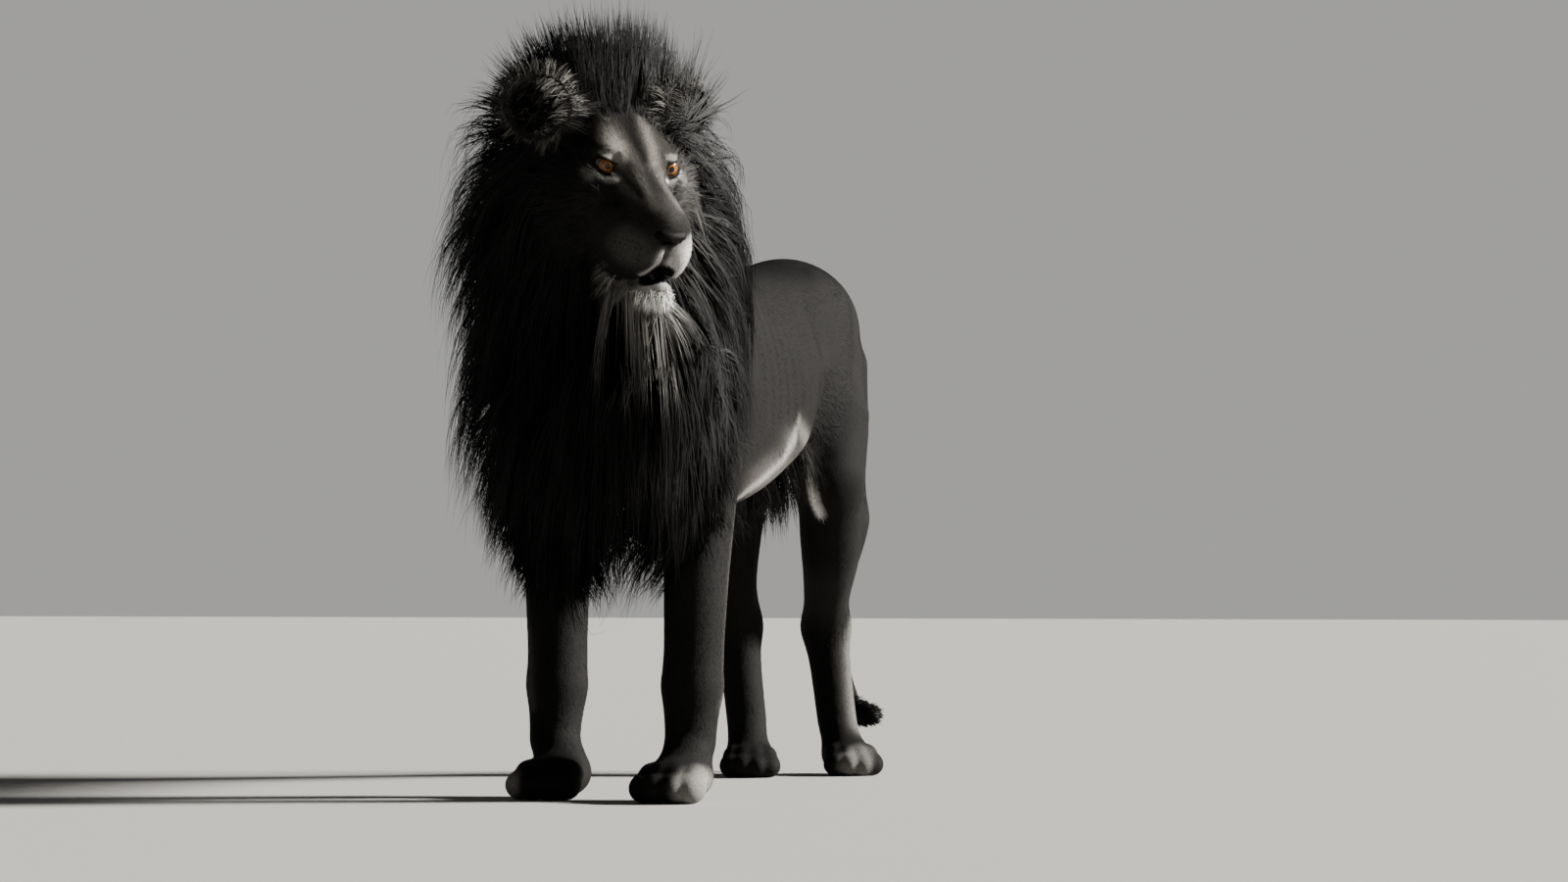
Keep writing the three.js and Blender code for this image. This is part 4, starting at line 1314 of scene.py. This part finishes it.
# The locks of each kind: how many, their hairs, how far these spread at the root, how much they draw
# together towards the tip, how far they stray, and their width.
LOCK_KINDS = dict(
    ear_rim=dict(count=290, each=6, spread=7.0, clump=0.35, stray=3.0, width=1.3),
    ear_inside=dict(count=210, each=5, spread=8.0, clump=0.45, stray=5.0, width=1.0),
    ear_corner=dict(count=22, each=8, spread=6.0, clump=0.6, stray=3.0, width=1.2),
    chin=dict(count=160, each=8, spread=5.0, clump=0.4, stray=4.0, width=1.0),
    face_edge=dict(count=430, each=6, spread=7.0, clump=0.45, stray=4.0, width=1.1),
    belly=dict(count=230, each=8, spread=10.0, clump=0.7, stray=7.0, width=1.8),
    tail=dict(count=160, each=7, spread=7.0, clump=0.5, stray=2.0, width=2.2),
)


def hang(roots, normals, ways, lengths, sag, hold=None):
    """Leaders that grow out along their ways and sag, held off the skin."""
    points = roots - ROOT_DEPTH * normals
    path = [points]
    for step in range(1, LEADER_STEPS // 2):
        t = step / (LEADER_STEPS // 2 - 1)
        ways = unit(ways + sag * (0.3 + t) * np.array((0.0, 0.0, -1.0)))
        if hold is not None:
            over, rise = measure(hold, points, 1.0)
            inward = np.maximum(-(ways * unit(rise)).sum(axis=1), 0) * smooth(over, 9, 2)
            ways = unit(ways + inward[:, None] * unit(rise))
        points = points + ways * (lengths / (LEADER_STEPS // 2 - 1))[:, None]
        path.append(points)
    return np.stack(path, axis=1)


def locks_piece(name, kind, paths, normals, paint, unroll, soft=0.6):
    """A piece of locks that hang from leaders, with a little change of colour from hair to hair."""
    style = LOCK_KINDS[kind]
    each = style["each"]
    strands = lock_hairs(paths, normals, each, style["spread"], style["clump"], style["stray"])
    outward = np.repeat(normals, each, axis=0)
    tones = np.repeat(rng.lognormal(0, 0.25, len(paths)), each) * rng.lognormal(0, 0.3, len(strands))
    widths = taper(rng.uniform(0.75, 1.25, len(strands)) * style["width"], HAIR_POINTS)
    colours = paint(strands) * tones[:, None, None]
    piece = hairs(name, strands, widths, outward, colours, unroll(strands[:, 0]), long_hair.material,
                  soft=soft)


def plain(colour):
    return lambda paths: np.tile(colour, (*paths.shape[:2], 1)).astype(float)


def own_ear(side):
    """Which faces of the skin belong to the ear of one side."""
    return on_ear & (face_middles @ HEAD_TURN[:, 0] * side > EYES_MID @ HEAD_TURN[:, 0] * side)


for side_name, side in SIDES:
    at, turn = ear_place(side)
    local = (face_h - at) @ turn
    ours = own_ear(side)
    unroll = roll(at, (0, 1, 0), -60, 60, in_head=True)
    rim = ours * (smooth(local[:, 1], 30, 2) + 0.3) * smooth(local[:, 2], -60, -10)
    ear_roots, ear_normals = scatter(rim, LOCK_KINDS["ear_rim"]["count"])
    spot = (to_head(ear_roots) - at) @ turn
    out = unit(spot * (1, 0, 1) + 1e-6)
    ways = unit(0.8 * out + (0, 0.45, 0.1) + rng.normal(size=out.shape) * 0.13)
    ways[:, 1] -= 0.35 * smooth(spot[:, 1], 6, -6)
    ways = unit(ways @ turn.T @ HEAD_TURN.T)
    lengths = rng.uniform(20, 42, len(ear_roots))
    ear_paths = hang(ear_roots, ear_normals, ways, lengths, 0.06)
    locks_piece(f"ear_fur_{side_name}", "ear_rim", ear_paths, ear_normals, plain(EAR_PALE), unroll)

    inner = ours * (local[:, 1] < 30) * (0.2 + smooth(-side * local[:, 0], -25, 30))
    ear_roots, ear_normals = scatter(inner, LOCK_KINDS["ear_inside"]["count"])
    inward = unit((0, -20, -10) - (to_head(ear_roots) - at) @ turn)
    ways = unit(inward * (0.5, 1, 0.5) + (0.6 * side, -0.7, 0.25) + rng.normal(size=ear_roots.shape) * 0.15)
    ways = unit(ways @ turn.T @ HEAD_TURN.T)
    ear_paths = hang(ear_roots, ear_normals, ways, rng.uniform(30, 58, len(ear_roots)), 0.10)
    locks_piece(f"ear_hairs_{side_name}", "ear_inside", ear_paths, ear_normals, plain(EAR_INSIDE), unroll)

    low_corner = ours * near_ball(local * (side, 1, 1), (-40, 0, -44), (26, 40, 24))
    ear_roots, ear_normals = scatter(low_corner, LOCK_KINDS["ear_corner"]["count"])
    ways = unit(np.array((0.25 * side, -0.35, -1.0)) + 0.14 * rng.normal(size=ear_roots.shape))
    ways = unit(ways @ turn.T @ HEAD_TURN.T)
    ear_paths = hang(ear_roots, ear_normals, ways, rng.uniform(26, 44, len(ear_roots)), 0.05)
    locks_piece(f"ear_corner_{side_name}", "ear_corner", ear_paths, ear_normals, plain(EAR_CORNER), unroll)


def chin_paint(paths):
    low = smooth(to_head(paths.reshape(-1, 3))[:, 2], -200, -228)
    return lerp(np.tile(CHIN_WHITE, (len(low), 1)), CHIN_GREY, low).reshape(paths.shape)


chin_place = near_ball(face_h, (17, -122, -194), (31, 42, 26)) * (face_h[:, 2] < -170) * (~on_ear)
chin_roots, chin_normals = scatter(chin_place, LOCK_KINDS["chin"]["count"])
chin_ways = unit(0.45 * chin_normals + (0, 0, -0.8) + rng.normal(size=chin_roots.shape) * 0.15)
chin_long = rng.uniform(9, 20, len(chin_roots)) * (1 + smooth(to_head(chin_roots)[:, 2], -170, -195))
chin_paths = hang(chin_roots, chin_normals, chin_ways, chin_long, 0.12, HEAD)
locks_piece("chin_hair", "chin", chin_paths, chin_normals, chin_paint,
            roll((0, -90, -160), (0, 1, 0), -70, 70, in_head=True))

# Hair of middle length where the face runs into the mane, which lies back and down over the mane's roots.
FACE_ROLL = roll((0, 0, -60), (0, 1, 0), -200, 200, in_head=True)
ahead_of_mane = np.interp(face_h[:, 2], EDGE_UP, EDGE_BACK) - face_h[:, 1]
edge_reach = np.where(face_h[:, 2] > 20, 50.0, 95.0)
edge_band = smooth(ahead_of_mane, -24, -4) * smooth(ahead_of_mane, edge_reach, edge_reach * 0.3)
edge_band *= off_head < 12
edge_band *= (~on_ear) * (face_h[:, 2] > -190)


def lie(points, normals):
    """The way the short coat lies."""
    h = to_head(points)
    way = np.tile((0.0, 1.0, -0.30), (len(points), 1))
    leg = smooth(points[:, 2], 700, 540)
    way = lerp(way, (0.0, 0.30, -1.0), leg)
    way = lerp(way, (0.0, -1.0, -0.30), smooth(points[:, 2], 120, 70))
    way = lerp(way, (0.0, 0.15, -1.0), smooth(points[:, 1], 715, 745))
    back = unit(h - (0, -190, -62)) @ HEAD_TURN.T
    way = way + (back - way) * (HEAD.distance(points) < 20)[:, None]
    for _, side in SIDES:
        at, turn = ear_place(side)
        spot = (h - at) @ turn
        up_the_ear = unit(spot * (1, 0, 1) + (0, 25, 12)) @ turn.T @ HEAD_TURN.T
        way = way + (up_the_ear - way) * (np.linalg.norm(spot, axis=1) < EAR["height"] + 6)[:, None]
    return unit(way - (way * normals).sum(axis=1)[:, None] * normals)


def face_edge_colours(paths):
    flat = paths.reshape(-1, 3)
    return (0.5 * marks_and_painted_light(flat) + 0.5 * mane_colours(flat)).reshape(paths.shape)


for side_name, side in SIDES:
    own_edge = edge_band * (face_h[:, 0] * side > 0)
    edge_roots, edge_normals = scatter(own_edge, LOCK_KINDS["face_edge"]["count"])
    spot = to_head(edge_roots)
    ahead = np.interp(spot[:, 2], EDGE_UP, EDGE_BACK) - spot[:, 1]
    low = smooth(spot[:, 2], 20, -60)
    edge_ways = lie(edge_roots, edge_normals) + 0.42 * edge_normals + 0.12 * rng.normal(size=edge_roots.shape)
    edge_ways = unit(edge_ways + low[:, None] * (0, 0, -0.35))
    edge_long = np.interp(ahead, (-20, 10, 60, 95), (85, 62, 26, 12)) * rng.uniform(0.75, 1.2, len(ahead))
    edge_paths = hang(edge_roots, edge_normals, edge_ways, edge_long, 0.035, HEAD)
    locks_piece(f"face_edge_{side_name}", "face_edge", edge_paths, edge_normals, face_edge_colours,
                FACE_ROLL, 0.8)

belly_low = (face_ways[:, 2] < -0.3) & (np.abs(face_middles[:, 1] - 110) < 260) & (face_middles[:, 2] > 500)
belly_low = belly_low * smooth(np.abs(face_middles[:, 0]), 125, 70) * (TRUNK.distance(face_middles) < 4)
belly_low = belly_low * (0.3 + smooth(face_middles[:, 1], 60, 200))
belly_roots, belly_normals = scatter(belly_low, LOCK_KINDS["belly"]["count"])
belly_ways = unit(0.5 * belly_normals + (0, 0.2, -0.6) + rng.normal(size=belly_roots.shape) * 0.16)
belly_long = rng.uniform(60, 100, len(belly_roots)) * (1 + 0.6 * smooth(belly_roots[:, 1], 60, 200))
belly_paths = hang(belly_roots, belly_normals, belly_ways, belly_long, 0.16, TRUNK)
locks_piece("belly_hair", "belly", belly_paths, belly_normals, plain(MANE_BLACK),
            roll((0, 0, 900), (0, 1, 0), -320, 440))

tuft_place = smooth(face_middles[:, 2], 162, 138) * (face_middles[:, 1] > 740)
tuft_roots, tuft_normals = scatter(tuft_place, LOCK_KINDS["tail"]["count"])
tuft_ways = unit(0.5 * tuft_normals + (0.9, 0, -0.10) + rng.normal(size=tuft_roots.shape) * 0.08)
tuft_paths = hang(tuft_roots, tuft_normals, tuft_ways, rng.uniform(12, 20, len(tuft_roots)), 0.0, TAIL)
locks_piece("tail_hair", "tail", tuft_paths, tuft_normals, plain(MANE_BLACK),
            roll((40, 800, 0), (0, 0, 1), 90, 260))

# ---- The short coat ----
# Flat tufts that overlap like thatch, backwards along the trunk, down the legs and forwards over the
# toes, and away from the nose on the face, where they are smallest.
TUFT_POINTS = 2
# The tufts of each kind: how many, their width, how high their tips stand, how uneven their tones are.
TUFT_KINDS = dict(
    face=dict(count=26000, width=1.5, lift=2.2, uneven=0.28),
    ear=dict(count=4500, width=2.0, lift=5.0, uneven=0.28),
    trunk=dict(count=28000, width=2.8, lift=0.6, uneven=0.16),
    tail=dict(count=3000, width=2.2, lift=2.0, uneven=0.28),
    leg=dict(count=6500, width=2.6, lift=0.6, uneven=0.16),
)


def one_length(length):
    return lambda points: np.full(len(points), length)


def leg_length(points):
    return np.interp(points[:, 2], (0, 100, 600), (7.0, 13.0, 22.0))


def tufts(name, kind, wanted, length, unroll):
    style = TUFT_KINDS[kind]
    count = style["count"]
    roots, normals = scatter(wanted, count)
    ways = lie(roots, normals)
    ways = unit(ways + 0.16 * rng.normal(size=ways.shape))
    long = length(roots) * rng.uniform(0.75, 1.25, count)
    high = style["lift"] * rng.uniform(0.5, 1.3, count)
    tips = roots + ways * long[:, None]
    level = LION.distance(roots)
    for _ in range(2):
        value, slope = measure(LION, tips)
        tips += (level + high - value)[:, None] * unit(slope)
    paths = np.stack([roots - normals * 0.3, tips], axis=1)
    tones = rng.lognormal(0.0, style["uneven"], count)[:, None, None]
    colours = np.repeat(marks_and_painted_light(roots)[:, None], TUFT_POINTS, axis=1) * tones
    widths = taper(style["width"] * rng.uniform(0.7, 1.3, count), TUFT_POINTS)
    paths[:, :, 2] = np.maximum(paths[:, :, 2], 1.5)
    piece = hairs(name, paths, widths, normals, colours, unroll(roots), short_fur.material, 0.35)


bare = 1 - np.clip(mane_density, 0, 1)
on_face = (off_head < 15) & (bare > 0.2)
furred = 1 - smooth(lip_line(face_h, 4.0), 0.2, 0.7)
for _, side in SIDES:
    reach, ahead, _, inside = eye_view(face_h, side)
    close = (ahead > 0) & (reach < EYE["radius"] + 14)
    furred *= 1 - close * (inside < 1.9)
furred *= NOSE.distance(face_middles) > 1.0


def face_length(points):
    h = to_head(points)
    return np.interp(h[:, 1], (-180, -60, 0, 60, 120), (5.0, 8.5, 13.0, 16.0, 22.0))


tufts("coat_face", "face", on_face * bare * furred * ~on_ear, face_length, FACE_ROLL)
off_face = bare * ~on_face * ~on_ear
for side_name, side in SIDES:
    tufts(f"coat_ear_{side_name}", "ear", own_ear(side) * 1.0, one_length(17.0),
          roll(ear_place(side)[0], (0, 1, 0), -60, 60, in_head=True))
trunk_part = face_middles[:, 2] > 600
tail_part = face_middles[:, 1] > 735
tufts("coat_trunk", "trunk", off_face * (trunk_part & ~tail_part), one_length(24.0),
      roll((0, 0, 800), (0, 1, 0), -500, 740))
tufts("coat_tail", "tail", off_face * tail_part, one_length(16.0), roll((0, 805, 0), (0, 0, 1), 100, 960))
for end_name, front_end, leg_y in (("foreleg", True, -450), ("hindleg", False, 600)):
    for side_name, side in SIDES:
        part = ~trunk_part & ~tail_part & ((face_middles[:, 1] < 0) == front_end)
        part &= face_middles[:, 0] * side > 0
        tufts(f"coat_{end_name}_{side_name}", "leg", off_face * part, leg_length,
              roll((side * 130, leg_y, 0), (0, 0, 1), 0, 620))
